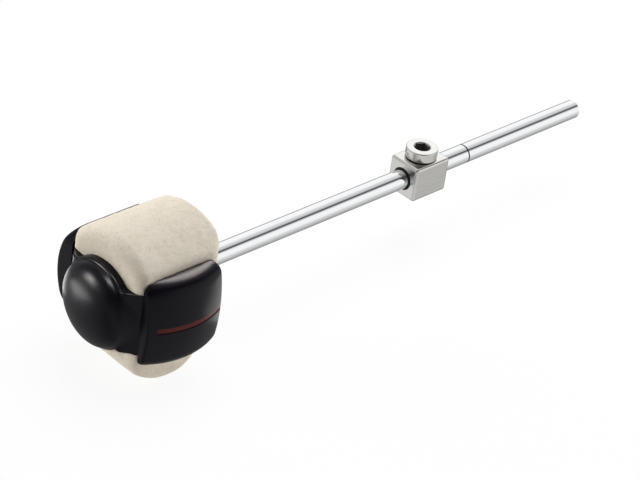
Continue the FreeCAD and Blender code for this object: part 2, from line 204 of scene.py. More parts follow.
# %% Shaft
shaft_low, shaft_high = box_mm("shaft")
spigot_end_x, tip_x = shaft_low[0], shaft_high[0]
shoulder_x = box_mm("rear_washer")[1][0]
shaft_radius, shoulder_softness = 4.0, 0.15
spigot_radius, spigot_chamfer, spigot_softness = 3.0, 0.5, 0.1
ring_x, ring_width, ring_depth, ring_softness = -34.6, 0.6, 0.25, 0.06
tip_chamfer, tip_softness = 0.8, 0.3
ring_end_x, ring_floor = ring_x + ring_width, shaft_radius - ring_depth
shaft_profile = rounded_run([
    (spigot_end_x, 0, 0), (spigot_end_x, spigot_radius - spigot_chamfer, spigot_softness),
    (spigot_end_x + spigot_chamfer, spigot_radius, spigot_softness),
    (shoulder_x, spigot_radius, spigot_softness), (shoulder_x, shaft_radius, shoulder_softness),
    (ring_x, shaft_radius, ring_softness), (ring_x, ring_floor, ring_softness),
    (ring_end_x, ring_floor, ring_softness), (ring_end_x, shaft_radius, ring_softness),
    (tip_x - tip_chamfer, shaft_radius, tip_softness), (tip_x, shaft_radius - tip_chamfer, tip_softness),
    (tip_x, 0, 0),
])
shaft = make_piece("chromed_shaft", [turned(shaft_profile)], "beater", ["shaft"])

# %% [markdown]
# ## The balance weight
#
# The weight is a small satin steel block with softly broken edges. Its bore runs along the shaft and is
# wider at both ends, where black bushes sit, and the clamp screw enters from the top. A bevelled cube with
# boolean holes leaves long thin faces that shade badly, so the block is made in parts: flats, quarter-round
# edges and ball corners. A flat with a hole is a grid from the rectangle to the circle.

# %% Helpers for blocks
def rectangle_to_circle(b, c, radius, rows=8):
    """Points from a rectangle's border, rows in steps, to the points of a circle in the same directions."""
    border_b = np.concatenate([b, np.full(len(c), b[-1]), b[::-1], np.full(len(c), b[0])])
    border_c = np.concatenate([np.full(len(b), c[0]), c, np.full(len(b), c[-1]), c[::-1]])
    angle = np.arctan2(border_c, border_b)
    share = np.linspace(0, 1, rows)[:, None]
    across = border_b + (radius * np.cos(angle) - border_b) * share
    up = border_c + (radius * np.sin(angle) - border_c) * share
    return across, up, angle


def on_axes(axis, a, b, c):
    """Stacks three coordinates so that a lies on the given axis, and b and c on the two that follow it."""
    ordered = [None, None, None]
    ordered[axis], ordered[(axis + 1) % 3], ordered[(axis + 2) % 3] = a, b, c
    return np.stack(np.broadcast_arrays(*ordered), axis=-1)


# %% Block with holes
def block_grids(half, rounding, holes, count=25, bend_steps=9):
    """Grids of a rounded block about its middle: holes maps (axis, side) to a profile of (place, radius)."""
    flat = [np.linspace(-(size - rounding), size - rounding, count) for size in half]
    bend = np.linspace(0, np.pi / 2, bend_steps)
    tilt = bend[:, None]
    grids = []
    for axis in range(3):
        b, c = flat[(axis + 1) % 3], flat[(axis + 2) % 3]
        for side in (-1, 1):
            face = side * half[axis]
            if (axis, side) in holes:
                depth, radius = np.asarray(holes[axis, side], float).T[:, :, None]
                across, up, angle = rectangle_to_circle(b, c, radius[0, 0])
                grids.append(on_axes(axis, face, across, up))
                grids.append(on_axes(axis, depth, radius * np.cos(angle), radius * np.sin(angle)))
            else:
                grids.append(on_axes(axis, face, b[:, None], c[None, :]))
        for side_b, side_c in ((-1, -1), (-1, 1), (1, -1), (1, 1)):
            edge_b = side_b * (b[-1] + rounding * np.cos(bend))
            edge_c = side_c * (c[-1] + rounding * np.sin(bend))
            grids.append(on_axes(axis, flat[axis][:, None], edge_b, edge_c))
            for end in (-1, 1) if axis == 0 else ():
                grids.append(on_axes(axis, end * (flat[axis][-1] + rounding * np.sin(tilt)),
                                     side_b * (b[-1] + rounding * np.cos(tilt) * np.cos(bend)),
                                     side_c * (c[-1] + rounding * np.cos(tilt) * np.sin(bend))))
    return grids


# %% Balance weight
weight_low, weight_high = box_mm("balance_weight")
weight_middle = (weight_low + weight_high) / 2
half_length, half_width, half_height = (weight_high - weight_low) / 2
weight_rounding, bore_radius = 1.2, 4.05
seat_radius, seat_depth, seat_chamfer = 4.70, 4.0, 0.12
screw_chamfer, over_bore = 0.3, 0.01
bore = [
    (half_length, seat_radius + seat_chamfer), (half_length - seat_chamfer, seat_radius),
    (half_length - seat_depth, seat_radius), (half_length - seat_depth, bore_radius), (0, bore_radius),
]
screw_hole = [
    (half_height, bore_radius + screw_chamfer), (half_height - screw_chamfer, bore_radius),
    (bore_radius + over_bore, bore_radius), (bore_radius + over_bore, 0),
]
weight_holes = {(0, 1): bore, (0, -1): [(-place, radius) for place, radius in bore], (2, 1): screw_hole}
weight_shell = block_grids((half_length, half_width, half_height), weight_rounding, weight_holes)
weight_grids = [grid + weight_middle for grid in weight_shell]
weight = make_piece("balance_block", weight_grids, "weight", ["balance_weight"])

# %% [markdown]
# ## The bushes
#
# Two black plastic bushes line the weight's bore and stand a little proud of it, so that the steel doesn't
# scratch the chrome. Each could be a tube with a bevel modifier. A rounded section turned about the shaft
# says the same in one line and keeps the gap to the shaft exact.

# %% Bushes
bush_low, bush_high = box_mm("weight_bushes")
bush_length, bush_bore, bush_radius, bush_softness = 4.25, 4.03, 4.65, 0.2
bush_starts = (bush_low[0], bush_high[0] - bush_length)
bush_grids = [closed_ring(start, start + bush_length, bush_bore, bush_radius, bush_softness)
              for start in bush_starts]
bushes = make_piece("bore_bushes", bush_grids, "bushes", ["weight_bushes"])

# %% [markdown]
# ## The clamp screw
#
# The clamp screw is a socket screw whose tip presses a small pad on the shaft. Its socket is six-sided and
# its rim round, so it can't be turned from one profile. A boolean cut would make the socket, but the
# softened mouth needs rings that start as a hexagon and become circles: in each direction the ring's radius
# is the flat's distance divided by the cosine of the angle from the flat's middle.

# %% Sizes of the clamp screw
screw_low, screw_high = box_mm("clamp_screw")
screw_middle = (screw_low + screw_high) / 2
tip_z, head_top, head_height, head_radius = screw_low[2], screw_high[2], 4.1, 6.5
head_softness, underside_softness, neck_softness = 0.5, 0.25, 0.1
thread_radius, thread_end_softness = 4.0, 0.4
socket_half_width, socket_depth, drill_point, floor_share = 3.0, 4.3, 0.7, 0.9
mouth_radius, mouth_margin = 3.6, 0.4
pad_seat_radius, pad_seat_depth, pad_seat_softness = 2.55, 1.8, 0.1
head_bottom, socket_floor = head_top - head_height, head_top - socket_depth
pad_seat_z = tip_z + pad_seat_depth
print("clamp screw from z", round(tip_z, 2), "to", round(head_top, 2))


# %% Clamp screw
around = np.linspace(0, 2 * np.pi, 145)
from_flat = (around + np.pi / 6) % (np.pi / 3) - np.pi / 6
hexagon = socket_half_width / np.cos(from_flat)
mouth_z = head_top - (mouth_radius - hexagon)
outside = rounded_run([
    (head_top, mouth_radius + mouth_margin, 0), (head_top, head_radius, head_softness),
    (head_bottom, head_radius, underside_softness), (head_bottom, thread_radius, neck_softness),
    (tip_z, thread_radius, thread_end_softness), (tip_z, pad_seat_radius, pad_seat_softness),
    (pad_seat_z, pad_seat_radius, 0), (pad_seat_z, 0, 0),
])


def all_round(levels):
    """A row for each level, with a value in every direction about the screw's axis."""
    return np.stack([np.broadcast_to(level, around.shape) for level in levels])


drilled_z = socket_floor - drill_point
screw_z = all_round([drilled_z, socket_floor, socket_floor, mouth_z, head_top, *outside[:, 0]])
screw_radius = all_round([0, floor_share * hexagon, hexagon, hexagon, mouth_radius, *outside[:, 1]])
screw_grid = np.stack([screw_middle[0] + screw_radius * np.cos(around),
                       screw_middle[1] + screw_radius * np.sin(around), screw_z], axis=-1)
screw = make_piece("socket_screw", [screw_grid], "screw", ["clamp_screw"])

# %% [markdown]
# ## Pressed felt
#
# Two pads of pressed felt fill the head above and below the hub. Felt is never quite even, so besides their
# broad forms the pads need a slight unevenness all over. A displacement texture could give it, but then the
# shape would hang on a modifier: here a sum of small sine waves moves every point a little.

# %% Felt unevenness
def felt_unevenness(points, seed):
    """Adds waves to points: each wave is a small fixed push times the sine of a direction times the place."""
    waves, shortest, longest, push_size = 90, 1.4, 9.0, 0.0026
    draw = np.random.default_rng(seed)
    wave_length = draw.uniform(shortest, longest, waves)
    heading = draw.normal(size=(3, waves))
    heading *= 2 * np.pi / (wave_length * np.linalg.norm(heading, axis=0))
    push = draw.normal(size=(waves, 3)) * push_size * np.sqrt(wave_length)[:, None]
    return points + np.sin(points @ heading + draw.uniform(0, 2 * np.pi, waves)) @ push


# %% Sizes of the felt
felt_low, felt_high = box_mm("upper_felt")
felt_front, felt_rear = felt_low[0], felt_high[0]
felt_half_width, front_side_rounding, felt_base, hub_room = 20.0, 4.0, 2.7, 7.2
arm_side, arm_half_height, arm_rear, arm_step, strap_start = 17.0, 13.3, -190.5, 0.08, 13.3
felt_x = np.union1d(crowded(felt_front, felt_rear, 120), [arm_rear, arm_rear + arm_step])
from_front, from_rear = felt_x - felt_front, felt_rear - felt_x
print("felt runs from x", round(felt_front, 1), "to", round(felt_rear, 1), "in", len(felt_x), "stations")

# %% [markdown]
# ## Arches over the hub
#
# Each pad is an arch: an outer curve and an inner curve over the hub, both carried along the shaft, with
# flat ends between them. The sides are cut back where the yoke's arms run along the head. Solid blocks with
# boolean cuts would leave hard edges there, while the carried curves can be rounded wherever the felt is.

# %% Widths and sides of the felt
def felt_widths(rear_inset):
    """A pad's half width at every station, and the smaller one beside the straps and arms of the yoke."""
    width = felt_half_width - inset(front_side_rounding, from_front) - rear_inset
    beside_strap = np.minimum(width, np.minimum(arm_side, strap_start + felt_x - felt_front))
    return width, np.where(felt_x > arm_rear, width, beside_strap)


def felt_side(width, low_width, lip_z, side):
    """The side of a pad, from the hub's wing past the yoke's arm to where the rounded edge starts."""
    base, step = np.full_like(width, felt_base), np.full_like(width, arm_half_height)
    y = [along(low_width, low_width, 24), along(low_width, width, 8), along(width, width, 20)]
    z = [along(base, step, 24), along(step, step, 8), along(step, lip_z, 20)]
    return np.concatenate(y, axis=1), side * np.concatenate(z, axis=1)


# %% Felt arches
def arch_grids(half_y, half_z, side):
    """Closes an arch from its half outline over Y > 0, with the hub's hollow below and flat ends."""
    outer_y = np.concatenate([half_y, -half_y[:, ::-1]], axis=1)
    outer_z = np.concatenate([half_z, half_z[:, ::-1]], axis=1)
    count = outer_y.shape[1]
    ledge_count = count // 4
    first_swing = math.asin(felt_base / hub_room)
    swing = np.linspace(first_swing, math.pi - first_swing, count - 2 * ledge_count)
    hollow_y, hollow_z = (np.tile(hub_room * wave(swing), (len(felt_x), 1)) for wave in (np.cos, np.sin))
    ledge = along(half_y[:, 0], hub_room * math.cos(first_swing), ledge_count)
    flat = np.full_like(ledge, felt_base)
    inner_y = np.concatenate([ledge, hollow_y, -ledge[:, ::-1]], axis=1)
    inner_z = side * np.concatenate([flat, hollow_z, flat], axis=1)
    x = np.repeat(felt_x[:, None], count, axis=1)
    outer = np.stack([x, outer_y, outer_z], axis=-1)
    inner = np.stack([x, inner_y, inner_z], axis=-1)
    return [outer, inner, between(outer[0], inner[0], 30), between(outer[-1], inner[-1], 30)]


# %% [markdown]
# ## The upper felt
#
# The upper pad is the felt striking face: straight along the shaft, round about it, and softly rounded
# where it meets its sides. Its half outline goes up the side, round an edge arc that touches the large
# circle from inside, and over the top. The rims at both ends sink by the insets of their roundings.

# %% Upper felt
top_radius, top_front_rounding, top_rear_rounding = felt_high[2], 4.8, 2.5
edge_softness, rear_side_rounding = 5.7, 8.8
upper_width, upper_low_width = felt_widths(inset(rear_side_rounding, from_rear))
upper_radius = top_radius - inset(top_front_rounding, from_front) - inset(top_rear_rounding, from_rear)
edge_y = upper_width - edge_softness
edge_z = np.sqrt((upper_radius - edge_softness) ** 2 - edge_y ** 2)
lean = np.arctan2(edge_z, edge_y)
edge_turn, top_turn = along(0, lean, 10), along(lean, math.pi / 2, 90)
side_y, side_z = felt_side(upper_width, upper_low_width, edge_z, 1)
upper_y = np.concatenate([side_y, edge_y[:, None] + edge_softness * np.cos(edge_turn),
                          upper_radius[:, None] * np.cos(top_turn)], axis=1)
upper_z = np.concatenate([side_z, edge_z[:, None] + edge_softness * np.sin(edge_turn),
                          upper_radius[:, None] * np.sin(top_turn)], axis=1)
upper_grids = [felt_unevenness(grid, 3) for grid in arch_grids(upper_y, upper_z, 1)]
upper_felt = make_piece("upper_felt_pad", upper_grids, "beater", ["upper_felt"])

# %% [markdown]
# ## The lower felt
#
# The lower pad is crowned along the shaft like a barrel and flat across it, so it strikes with a small
# spot. Its depth follows a circle whose ends turn into ball-nosed rims. Seen from above it also narrows
# towards the rear, more slowly than a rounded corner would: a share of a large inset gives that taper.

# %% Depth of the lower felt
crest_x, barrel_z, barrel_radius, rim = -203.6, -6.2, 24.0, 4.0
barrel = np.sqrt(barrel_radius ** 2 - (felt_x - crest_x) ** 2)


def rim_curve(end_x, inward):
    """The ball-nosed rim between a flat end and the barrel: a circle that touches both from inside."""
    centre_x = end_x + inward * rim
    centre = np.sqrt((barrel_radius - rim) ** 2 - (centre_x - crest_x) ** 2)
    touch_x = crest_x + (centre_x - crest_x) * barrel_radius / (barrel_radius - rim)
    beyond = (felt_x - touch_x) * inward < 0
    return beyond, centre + np.sqrt(np.clip(rim ** 2 - (felt_x - centre_x) ** 2, 0, None))


for beyond, curve in (rim_curve(felt_front, 1), rim_curve(felt_rear, -1)):
    barrel = np.where(beyond, curve, barrel)
depth = barrel - barrel_z
print("lower felt reaches z", round(-depth.max(), 2))

# %% Lower felt
taper_share, taper_rounding = 0.58, 20.0
lower_width, lower_low_width = felt_widths(taper_share * inset(taper_rounding, from_rear))
side_y, side_z = felt_side(lower_width, lower_low_width, depth - rim, -1)
corner_turn = np.linspace(0, math.pi / 2, 16)
corner_y = (lower_width - rim)[:, None] + rim * np.cos(corner_turn)
corner_z = (rim - depth)[:, None] - rim * np.sin(corner_turn)
base_y = along(lower_width - rim, 0, 60)
base_z = along(-depth, -depth, 60)
lower_y = np.concatenate([side_y, corner_y, base_y], axis=1)
lower_z = np.concatenate([side_z, corner_z, base_z], axis=1)
lower_grids = [felt_unevenness(grid, 5) for grid in arch_grids(lower_y, lower_z, -1)]
lower_felt = make_piece("lower_felt_pad", lower_grids, "beater", ["lower_felt"])

# %% [markdown]
# ## The hub
#
# Between the pads sits a moulded hub: a sleeve round the spigot, a flat wing to each side and a round
# flange that closes the head at the back, where a washer rests on the shaft's shoulder. Only the flange,
# the washer and the wings' ends can be seen, from behind, so a turned sleeve and a plain rounded block are
# enough.

# %% Hub
hub_low, hub_high = box_mm("hub_core")
hub_front, hub_rear, hub_radius, hub_bore = hub_low[0], hub_high[0], 7.0, 3.05
flange_thickness, flange_radius = 2.0, 13.0
hub_softness, hub_fillet, flange_softness = 0.3, 0.2, 0.5
flange_x, face_middle = hub_rear - flange_thickness, (hub_radius + hub_bore) / 2
hub_sleeve = turned(rounded_run([
    (hub_front, face_middle, 0), (hub_front, hub_radius, hub_softness), (flange_x, hub_radius, hub_fillet),
    (flange_x, flange_radius, hub_softness), (hub_rear, flange_radius, flange_softness),
    (hub_rear, hub_bore, hub_fillet), (hub_front, hub_bore, hub_fillet), (hub_front, face_middle, 0),
]))
wing_setback, wing_half_height, wing_softness = 3.7, 2.5, 0.4
wing_front = felt_front + wing_setback
wing_half = np.array([(felt_rear - wing_front) / 2, hub_high[1], wing_half_height])
wing_middle = np.array([(wing_front + felt_rear) / 2, 0, 0])
wing_grids = [grid + wing_middle for grid in block_grids(wing_half, wing_softness, {}, 9)]
hub = make_piece("hub_sleeve", [hub_sleeve] + wing_grids, "beater", ["hub_core"])

# %% Rear washer
washer_low, washer_high = box_mm("rear_washer")
washer_gap, washer_softness = 0.05, 0.15
washer_grid = closed_ring(washer_low[0], washer_high[0], spigot_radius + washer_gap, washer_high[2],
                          washer_softness)
washer = make_piece("shoulder_washer", [washer_grid], "beater", ["rear_washer"])

# %% [markdown]
# ## The nose and yoke
#
# One black moulding closes the front of the head: a dome over the nut, a round rim in front of the felt and
# two straps that bend back at 45 degrees to carry the striking plates. It could be a turned cap pushed on a
# bent band, but on the real one the dome flows into the straps without a seam. So it is a height above the
# rim's plane, over an outline that is round at the top and bottom and straight along the straps. The larger
# of the dome's and the straps' heights counts, with the corner between them rounded over.

# %% Outline of the moulding
yoke_low, yoke_high = box_mm("face_yoke")
rim_plane = yoke_low[0]
dome_height = rim_plane - box_mm("nose_cap")[0][0]
arm_out, arm_thickness = yoke_high[1], 3.0
rim_radius, strap_half_height, strap_hollow = 17.9, 13.1, 0.9


def quarter_outline():
    """The outline's first quarter in (y, z): the strap's end and edge, a hollow arc and the rim's own arc."""
    hollow_z = strap_half_height + strap_hollow
    hollow_y = math.sqrt((rim_radius + strap_hollow) ** 2 - hollow_z ** 2)
    meet = math.atan2(hollow_z, hollow_y)
    hollow_turn = np.linspace(-math.pi / 2, meet - math.pi, 12)[1:]
    rim_turn = np.linspace(meet, math.pi / 2, 40)[1:]
    strap_end = np.linspace(0, strap_half_height, 26)[:-1]
    strap_edge = np.linspace(arm_out, hollow_y, 22)
    y = [np.full_like(strap_end, arm_out), strap_edge,
         hollow_y + strap_hollow * np.cos(hollow_turn), rim_radius * np.cos(rim_turn)]
    z = [strap_end, np.full_like(strap_edge, strap_half_height),
         hollow_z + strap_hollow * np.sin(hollow_turn), rim_radius * np.sin(rim_turn)]
    return np.stack([np.concatenate(y), np.concatenate(z)], axis=1)


quarter = quarter_outline()
upper_half = np.concatenate([quarter, quarter[-2::-1] * (-1, 1)])
outline = np.concatenate([upper_half, -upper_half[1:]])
print("outline of the moulding:", len(outline), "points")


# %% Height of the moulding
def smooth_max(a, b, width):
    """The larger of two heights, plus (w - |a - b|)^2 / (4 w) where they are closer than the width w."""
    return np.maximum(a, b) + np.clip(width - np.abs(a - b), 0, None) ** 2 / (4 * width)


def nose_height(y, z):
    """Height in front of the rim's plane: a dome h sqrt(1 - u^p), u = radius / R, against the bent straps.

    Past a share of R the dome goes on as a cone with the slope that it has there. The corner between dome and
    straps is rounded over a width that grows towards the straps.
    """
    dome_radius, power, cone_share = 16.8, 2.3, 0.99
    bend_start, bend_softness = 14.5, 1.2
    widen_start, widen_run, corner_width, strap_width = 6.0, 6.0, 0.8, 2.6
    share = np.hypot(y, z) / dome_radius
    inside = np.sqrt(1 - np.minimum(share, cone_share) ** power)
    slope = -power * cone_share ** (power - 1) / (2 * math.sqrt(1 - cone_share ** power))
    dome = dome_height * (inside + slope * np.clip(share - cone_share, 0, None))
    straps = -smooth_max(np.abs(y) - bend_start, 0.0, bend_softness)
    towards_strap = np.clip((np.abs(y) - widen_start) / widen_run, 0, 1)
    return smooth_max(dome, straps, corner_width + strap_width * towards_strap)


# %% Front and back of the moulding
edge_rounding, spigot_room, front_rows, crowding = 0.9, 3.05, 89, 1.6
bend_inside, bend_depth = 13.56, 3.64
reach_out = np.linalg.norm(outline, axis=1)
outward = outline / reach_out[:, None]
edge_turn = np.linspace(0, math.pi / 2, 9)[:, None]
open_steps = 1 - (1 - np.linspace(0, 1, front_rows + 1)[:-1, None]) ** crowding
open_shares = open_steps * (1 - edge_rounding / reach_out)
edge_shares = 1 - edge_rounding * (1 - np.sin(edge_turn)) / reach_out
front_yz = np.concatenate([open_shares, edge_shares])[..., None] * outline
edge_drop = np.concatenate([np.zeros((front_rows, 1)), edge_rounding * (1 - np.cos(edge_turn))])
front_x = rim_plane - nose_height(front_yz[..., 0], front_yz[..., 1]) + edge_drop
back_yz = between(outline, spigot_room * outward, 12)
back_x = felt_front + np.clip(np.abs(back_yz[..., 0]) - bend_inside, 0, bend_depth)
print("front of the moulding:", front_x.shape, "points, dome", round(dome_height, 2), "mm high")

# %% Nose and yoke
nut_room, nut_seat_depth, nut_end_gap = 7.5, 2.0, 0.5
nut_seat, nut_front = rim_plane + nut_seat_depth, spigot_end_x - nut_end_gap
hollow = np.array([(nut_seat, spigot_room), (nut_seat, nut_room), (nut_front, nut_room), (nut_front, 0)])
hollow_yz = hollow[:, 1, None, None] * outward
hollow_x = np.repeat(hollow[:, :1], len(outline), axis=1)
moulding_x = np.concatenate([front_x, back_x, hollow_x])[..., None]
moulding = np.concatenate([moulding_x, np.concatenate([front_yz, back_yz, hollow_yz])], axis=2)
arm_setback, arm_softness = 3.1, 0.4
arm_front = felt_front + arm_setback
arm_half = np.array([(yoke_high[0] - arm_front) / 2, arm_thickness / 2, strap_half_height])
arm_middle = np.array([(yoke_high[0] + arm_front) / 2, arm_out - arm_thickness / 2, 0])
arm_block = block_grids(arm_half, arm_softness, {}, 13)
arm_grids = [grid + arm_middle * (1, side, 1) for side in (-1, 1) for grid in arm_block]
nose = make_piece("nose_moulding", [moulding] + arm_grids, "beater",
                  ["nose_cap", "face_yoke"])

# %% [markdown]
# ## The striking plates
#
# A plastic plate sits on each arm. The near one bulges along the shaft and has broadly rounded upper and
# lower edges, the far one is straight along the shaft. Bevels on a sculpted block would be hard to size, so
# each is a section carried along the shaft. Every row of the section has its own start and end along X,
# which rounds the corners seen from the side, and two rows in the middle are sunk to make a groove for a
# red strip.

# %% Rows and columns of a plate
plate_low, plate_high = box_mm("crowned_plate")
plate_front, plate_rear, face_y, thinnest = plate_low[0], plate_high[0], arm_out, 0.04
groove_half_width, groove_depth, groove_setback = 1.2, 0.8, 3.0
groove_start = plate_front + groove_setback


def row_span(z, half_height, front_corner, rear_corner):
    """Where a row at height z starts and ends along X on a plate whose corners are quarter circles."""
    over_front = np.clip(np.abs(z) - (half_height - front_corner), 0, front_corner)
    over_rear = np.clip(np.abs(z) - (half_height - rear_corner), 0, rear_corner)
    return (plate_front + front_corner - np.sqrt(front_corner ** 2 - over_front ** 2),
            plate_rear - rear_corner + np.sqrt(rear_corner ** 2 - over_rear ** 2))


def plate_columns(start, end, edge):
    """Places along X for each row: close over both rounded ends and doubled where the groove starts."""
    curl = edge * (1 - np.cos(np.linspace(0, np.pi / 2, 9)))
    front, rear = start[:, None] + curl, end[:, None] - curl[::-1]
    first = along(front[:, -1], groove_start, 6)[:, 1:]
    second = along(groove_start, rear[:, 0], 40)[:, :-1]
    return np.concatenate([front, first, second, rear], axis=1), front.shape[1] + first.shape[1]


print("plates run from x", round(plate_front, 1), "to", round(plate_rear, 1))


# %% Closing a plate
def groove_rows(z):
    """Puts the groove's two borders, each twice, into rows of heights that leave its width free."""
    return np.concatenate([z[z < 0], [-groove_half_width] * 2, [groove_half_width] * 2, z[z > 0]])


def plate_grids(x, y, z, side):
    """Closes a plate with its flat inner face and the two ends that join it to the outer face."""
    y[1:-1] = np.maximum(y[1:-1], face_y + thinnest)
    y[[0, -1]] = face_y
    outer = np.stack([x, side * y, z], axis=-1)
    inner = np.stack([x, np.full_like(y, side * face_y), z], axis=-1)
    return [outer, inner, between(outer[:, 0], inner[:, 0], 5), between(outer[:, -1], inner[:, -1], 5)]


# %% [markdown]
# ## The crowned plate
#
# The near plate is crowned both ways. Its section, an arc with a round fillet at the top and bottom, swings
# about an upright axis a little past the shaft. So a point at a distance d from that axis, and x along the
# shaft, stands sqrt(d^2 - x^2) out from it. Working with d first keeps the fillets round along the crown.

# %% Section of the crowned plate
crown_radius, cross_radius, crown_half_height, crown_rounding = 34.0, 75.0, 18.0, 6.0
crown_front_corner, crown_rear_corner, crown_end_rounding = 2.2, 3.5, 0.8
edge_rows, arc_rows, first_angle = 16, 24, 0.02
crown_axis_y = crown_radius + plate_low[1]
fillet_z = crown_half_height - crown_rounding
fillet_arc = cross_radius - crown_rounding
fillet_reach = crown_radius - cross_radius + math.sqrt(fillet_arc ** 2 - fillet_z ** 2)
touch = math.asin(fillet_z / fillet_arc)
half_arc = np.linspace(first_angle, touch, arc_rows)
arc_z = groove_rows(cross_radius * np.sin(np.concatenate([-half_arc[::-1], half_arc])))
arc_reach = crown_radius - cross_radius + np.sqrt(cross_radius ** 2 - arc_z ** 2)
roll = np.linspace(math.pi / 2, touch, edge_rows)
edge_z = np.concatenate([np.full(edge_rows, crown_half_height), fillet_z + crown_rounding * np.sin(roll)])
row_z = np.concatenate([-edge_z, arc_z, edge_z[::-1]])
start, end = row_span(row_z, crown_half_height, crown_front_corner, crown_rear_corner)
plate_x, groove_column = plate_columns(start, end, crown_end_rounding)
print("crowned plate columns", plate_x.shape, "groove starts at column", groove_column)

# %% Crowned plate
offset = plate_x - crest_x
seat_reach = np.sqrt((face_y + crown_axis_y) ** 2 + offset ** 2)
seat = seat_reach[:1]
steps = np.linspace(0, 1, edge_rows)[:, None]
low_turn = np.arccos(np.clip((seat - fillet_reach) / crown_rounding, 0, 1))
roll_turn = low_turn + (touch - low_turn) * steps
wall = np.maximum(fillet_reach - seat, 0) * steps
edge_reach = np.concatenate([seat + wall, fillet_reach + crown_rounding * np.cos(roll_turn)])
wall_z = np.repeat(fillet_z + crown_rounding * np.sin(low_turn), edge_rows, axis=0)
edge_height = np.concatenate([wall_z, fillet_z + crown_rounding * np.sin(roll_turn)])
arc_reach, arc_height = (np.repeat(row[:, None], plate_x.shape[1], axis=1) for row in (arc_reach, arc_z))
reach = np.concatenate([edge_reach, arc_reach, edge_reach[::-1]])
plate_z = np.concatenate([-edge_height, arc_height, edge_height[::-1]])
front_drop = inset(crown_end_rounding, plate_x - start[:, None])
rear_drop = inset(crown_end_rounding, end[:, None] - plate_x)
reach -= front_drop + rear_drop
sunk_row = 2 * edge_rows + arc_rows + 1
reach[sunk_row:sunk_row + 2, groove_column:] -= groove_depth
plate_y = np.sqrt(np.maximum(reach, seat_reach) ** 2 - offset ** 2) - crown_axis_y
crowned_grids = plate_grids(plate_x, plate_y, plate_z, -1)
crowned = make_piece("crowned_striking_plate", crowned_grids, "beater", ["crowned_plate"])

# %% [markdown]
# ## The straight plate
#
# The far plate is a part of a cylinder about the shaft, with a narrow lip at the top and bottom, and its
# front corners are cut to a large radius. Its section is the same all along, so the rows need only their
# own ends.

# %% Section of the straight plate
straight_radius, straight_half_height, straight_rounding = 28.5, 19.4, 1.0
straight_front_corner, straight_rear_corner, straight_end_rounding = 8.5, 3.5, 1.2
first_row, last_row, half_rows, lip_rows = 1.7, 18.9, 40, 8
lip_out, lip_share, lip_end = 20.9, 0.72, math.radians(42)
half_z = np.linspace(first_row, last_row, half_rows)
straight_z = groove_rows(np.concatenate([-half_z[::-1], half_z]))
straight_y = np.sqrt(straight_radius ** 2 - straight_z ** 2)
lip_turn = np.linspace(math.pi / 2, lip_end, lip_rows)
lip_y = lip_out - straight_rounding * lip_share + straight_rounding * np.cos(lip_turn)
lip_z = straight_half_height - straight_rounding + straight_rounding * np.sin(lip_turn)
section_y = np.concatenate([[face_y], lip_y, straight_y, lip_y[::-1], [face_y]])
section_z = np.concatenate([[-straight_half_height], -lip_z, straight_z, lip_z[::-1], [straight_half_height]])
print("straight plate section:", len(section_z), "rows")

# %% Straight plate
start, end = row_span(section_z, straight_half_height, straight_front_corner, straight_rear_corner)
plate_x, groove_column = plate_columns(start, end, straight_end_rounding)
front_drop = inset(straight_end_rounding, plate_x - start[:, None])
rear_drop = inset(straight_rounding, end[:, None] - plate_x)
plate_y = section_y[:, None] - (front_drop + rear_drop)
sunk_row = 1 + lip_rows + half_rows + 1
plate_y[sunk_row:sunk_row + 2, groove_column:] -= groove_depth
plate_z = np.repeat(section_z[:, None], plate_x.shape[1], axis=1)
straight_grids = plate_grids(plate_x, plate_y, plate_z, 1)
straight = make_piece("straight_striking_plate", straight_grids, "beater",
                      ["straight_plate"])

# %% [markdown]
# ## The red strips
#
# A thin red strip is let into the groove of each plate and stays below its face. A coloured line in the
# plate's material would look much the same from afar, but the real strip is a piece of its own with rounded
# upper edges. So a small section follows the groove's floor, and each end is drawn to a point to close it.

# %% Red strips
end_gap, side_gap, floor_gap, strip_height = 0.05, 0.04, 0.05, 0.5
foot_softness, top_softness = 0.05, 0.18
strip_half = groove_half_width - side_gap
strip_x = np.linspace(groove_start + end_gap, plate_rear - end_gap, 60)
strip_section = rounded_run([
    (0, 0, 0), (-strip_half, 0, foot_softness), (-strip_half, strip_height, top_softness),
    (strip_half, strip_height, top_softness), (strip_half, 0, foot_softness), (0, 0, 0),
])


def strip_grids(base, side):
    """A strip's section carried along its groove's floor, with both ends drawn to a point to close them."""
    y = side * (base[:, None] + strip_section[:, 1])
    strip = np.stack(np.broadcast_arrays(strip_x[:, None], y, strip_section[:, 0]), axis=-1)
    return [strip] + [between(end, end.mean(axis=0, keepdims=True), 2) for end in (strip[0], strip[-1])]


floor_drop = groove_depth - floor_gap
crowned_base = np.sqrt((crown_radius - floor_drop) ** 2 - (strip_x - crest_x) ** 2) - crown_axis_y
straight_base = np.full_like(strip_x, straight_radius - floor_drop)
crowned_strip = make_piece("crowned_red_strip", strip_grids(crowned_base, -1), "beater",
                           ["crowned_inlay"])
straight_strip = make_piece("straight_red_strip", strip_grids(straight_base, 1), "beater",
                            ["straight_inlay"])

# %% [markdown]
# ## Tools for finishes
#
# Each finish is a tree of shader nodes. A tree can be drawn by hand in Blender's editor, but written out it
# can be read and repeated. One helper adds a node and fills its inputs with numbers or links, and a few
# more wrap the nodes that come again and again. Patterns read Object coordinates in metres, so they keep
# their real scale and stay on the piece when it moves.

# %% Helpers for nodes
def put(tree, kind, inputs=None, **options):
    """Adds a node, sets its options and fills its inputs: a socket is linked, anything else is a value."""
    node = tree.nodes.new(kind)
    for option, value in options.items():
        setattr(node, option, value)
    for label, value in (inputs or {}).items():
        if isinstance(value, bpy.types.NodeSocket):
            tree.links.new(value, node.inputs[label])
        else:
            node.inputs[label].default_value = value
    return node


